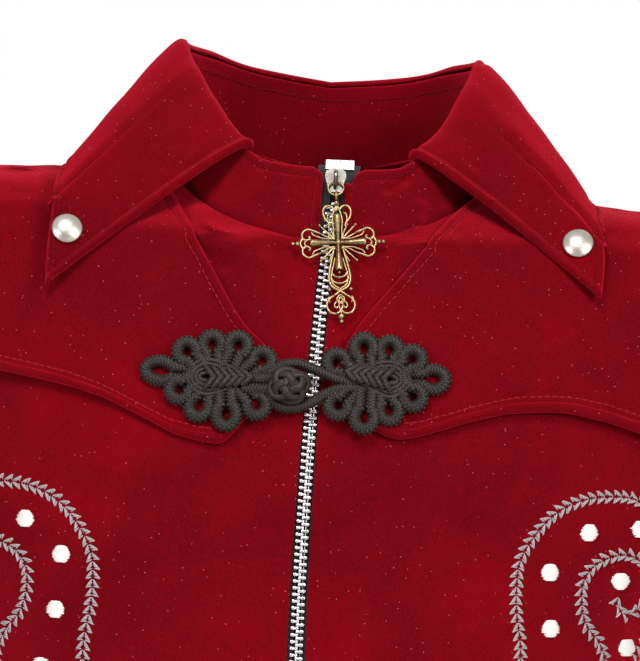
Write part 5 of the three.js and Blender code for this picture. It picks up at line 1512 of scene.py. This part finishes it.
# embroidery on the fronts: nested paisley scrolls in chevron stitch, with satin dots between
scroll = {
    "outer": [
        (97, -290), (90, -262), (86.6, -230), (86.6, -204), (84.6, -190), (84.2, -180), (85.4, -169),
        (90.3, -159.5), (98.6, -150), (108.5, -144.6), (120, -142.4), (132, -143.4), (141, -150),
        (145.2, -162), (144, -180), (139, -198), (130, -220), (117, -250), (97, -290),
    ],
    "inner": [
        (105, -246), (117, -226), (122, -212), (118.6, -200.5), (113.8, -194.5), (111, -187), (111.2, -177),
        (115, -170.6), (121.6, -166.6), (129.4, -165.6), (136, -169.6), (138, -178), (135.6, -186),
        (129.6, -189), (125.4, -185), (126.6, -180.6),
    ],
    "dots": [
        (113.2, -156.8), (97.7, -172.8), (98.6, -194.6), (134.2, -155), (103.4, -213.6), (101.2, -232),
        (130.6, -202.4), (99.4, -252), (126.6, -176.0),
    ],
    "rise": [0, 3, 3.2, 0, 0, 0, 0, 0, 0],
    "pitch": 3.45, "half": 2.6, "back": 2.9, "thread": 0.42, "unevenness": 0.14,
}
satin = {"radius": 3.6, "rows": 17, "thread": 0.36, "ragged": 0.24, "height": 1.6, "lift": 0.25}


def onFront(flat, side, lift):
    # the visible face of the front at (x, z): the form's point, its creases added along the normal
    flat = np.asarray(flat, float)
    p, normal = overForm(flat[:, 0], flat[:, 1], side, thick["cloth"])
    return p + normal * (frontWaves(p) + lift)[:, None], normal


def strandsBetween(first, last, normal, radius, height=1.0, overlap=1.0):
    # one short strand from each first point to its last point, standing off the cloth along the normal
    across = last - first
    length = np.linalg.norm(across, axis=-1, keepdims=True)
    x = across / length
    y = unit(np.cross(normal, x))
    axes = np.stack([x * length, y, np.cross(x, y) * height], axis=1)
    shape, faces = threadShape(1.0, radius)
    return (shape * [overlap, 1, 1], faces), axes


for side, name in sideNames.items():
    # the wearer's right scroll sits a little lower and further in
    shift = np.array([0, 0]) if side > 0 else np.array([-2.0, -4.0])
    threads = []
    for key in ("outer", "inner"):
        flat = smoothPath((np.array(scroll[key]) + shift) * [side, 1], 500)
        three = np.column_stack([flat[:, 0], 0 * flat[:, 0], flat[:, 1]])
        apex, ahead, _ = resampled(three, scroll["pitch"])
        across = np.stack([-ahead[:, 2], 0 * ahead[:, 0], ahead[:, 0]], axis=-1)
        jitter = np.random.default_rng(5).normal(0, scroll["unevenness"], (3, len(apex), 1))
        back, half = scroll["back"], scroll["half"]
        # each chevron: two outer legs, the two halves of its open base, and two inner legs, as (behind,
        # beside)
        ends = {
            "leg": [(0.3, 0.2), (-back, half)],
            "base": [(-back + 0.1, half + 0.1), (-back + 0.5, 0.5)],
            "inner": [(-0.6, 0.3), (-back + 0.6, half - 1.1)],
        }
        for way in (1, -1):
            for kind, ((tipBack, tipOut), (footBack, footOut)) in ends.items():
                tip = apex + ahead * (tipBack + jitter[0]) + across * way * tipOut
                foot = apex + ahead * (footBack + jitter[1]) + across * way * (footOut + jitter[2])
                tip3, normal = onFront(tip[:, [0, 2]], side, 0.35 if kind == "leg" else 0.15)
                foot3, _ = onFront(foot[:, [0, 2]], side, 0.15)
                radius = scroll["thread"] if kind == "leg" else 0.8 * scroll["thread"]
                shape, axes = strandsBetween(tip3, foot3, normal, radius, overlap=1.08)
                threads.append(scattered(shape, (tip3 + foot3) / 2, axes))
    points, faces = gather(threads)
    piece = addMesh(f"embroidery_{name}", points, faces, greyThread)
    dots = []
    for k, dot in enumerate(scroll["dots"]):
        # a disk of strands side by side, their ends a little ragged
        spot = (np.array(dot) + shift + ([0, scroll["rise"][k]] if side < 0 else 0)) * [side, 1]
        row = np.linspace(-0.84, 0.84, satin["rows"]) * satin["radius"]
        reach = np.sqrt(satin["radius"] ** 2 - row**2)
        reach = reach + np.random.default_rng(k).normal(0, satin["ragged"], satin["rows"])
        low3, normal = onFront(np.stack([spot[0] - reach, spot[1] + row], axis=-1), side, satin["lift"])
        high3, _ = onFront(np.stack([spot[0] + reach, spot[1] + row], axis=-1), side, satin["lift"])
        shape, axes = strandsBetween(low3, high3, normal, satin["thread"], satin["height"])
        dots.append(scattered(shape, (low3 + high3) / 2 + normal * 0.15, axes))
    points, faces = gather(dots)
    piece = addMesh(f"satin_dots_{name}", points, faces, whiteThread)
print("embroidery made")

# floor, pale near the coat and as white as the room further off
ground = {"reach": 6.0, "level": -0.99, "pale": 0.78, "from": 1.195, "to": 2.0}
floor = bpy.data.objects.new("floor", bpy.data.meshes.new("floor"))
bpy.context.collection.objects.link(floor)
corners = np.array([(-1, -1, 0), (1, -1, 0), (1, 1, 0), (-1, 1, 0)]) * ground["reach"] + [
    0, 0, ground["level"]
]
floor.data.from_pydata(corners.tolist(), [], [(0, 1, 2, 3)])
paleFloor, tree, shader = newMaterial("paleFloor", 0.8, Emission_Strength=1.0)
place = node(tree, "ShaderNodeTexCoord")
away = node(tree, "ShaderNodeVectorMath", operation="LENGTH")
tree.links.new(place.outputs["Object"], away.inputs[0])
far = node(tree, "ShaderNodeMapRange", interpolation_type="SMOOTHSTEP")
far.inputs["From Min"].default_value = ground["from"]
far.inputs["From Max"].default_value = ground["to"]
tree.links.new(away.outputs["Value"], far.inputs["Value"])
for socket, near, beyond in (("Base Color", ground["pale"], 0.0), ("Emission Color", 0.0, 1.0)):
    tone = node(tree, "ShaderNodeMix", data_type="RGBA")
    tone.inputs["A"].default_value = (near, near, near, 1)
    tone.inputs["B"].default_value = (beyond, beyond, beyond, 1)
    tree.links.new(far.outputs["Result"], tone.inputs["Factor"])
    tree.links.new(tone.outputs["Result"], shader.inputs[socket])
floor.data.materials.append(paleFloor)

print("all made")
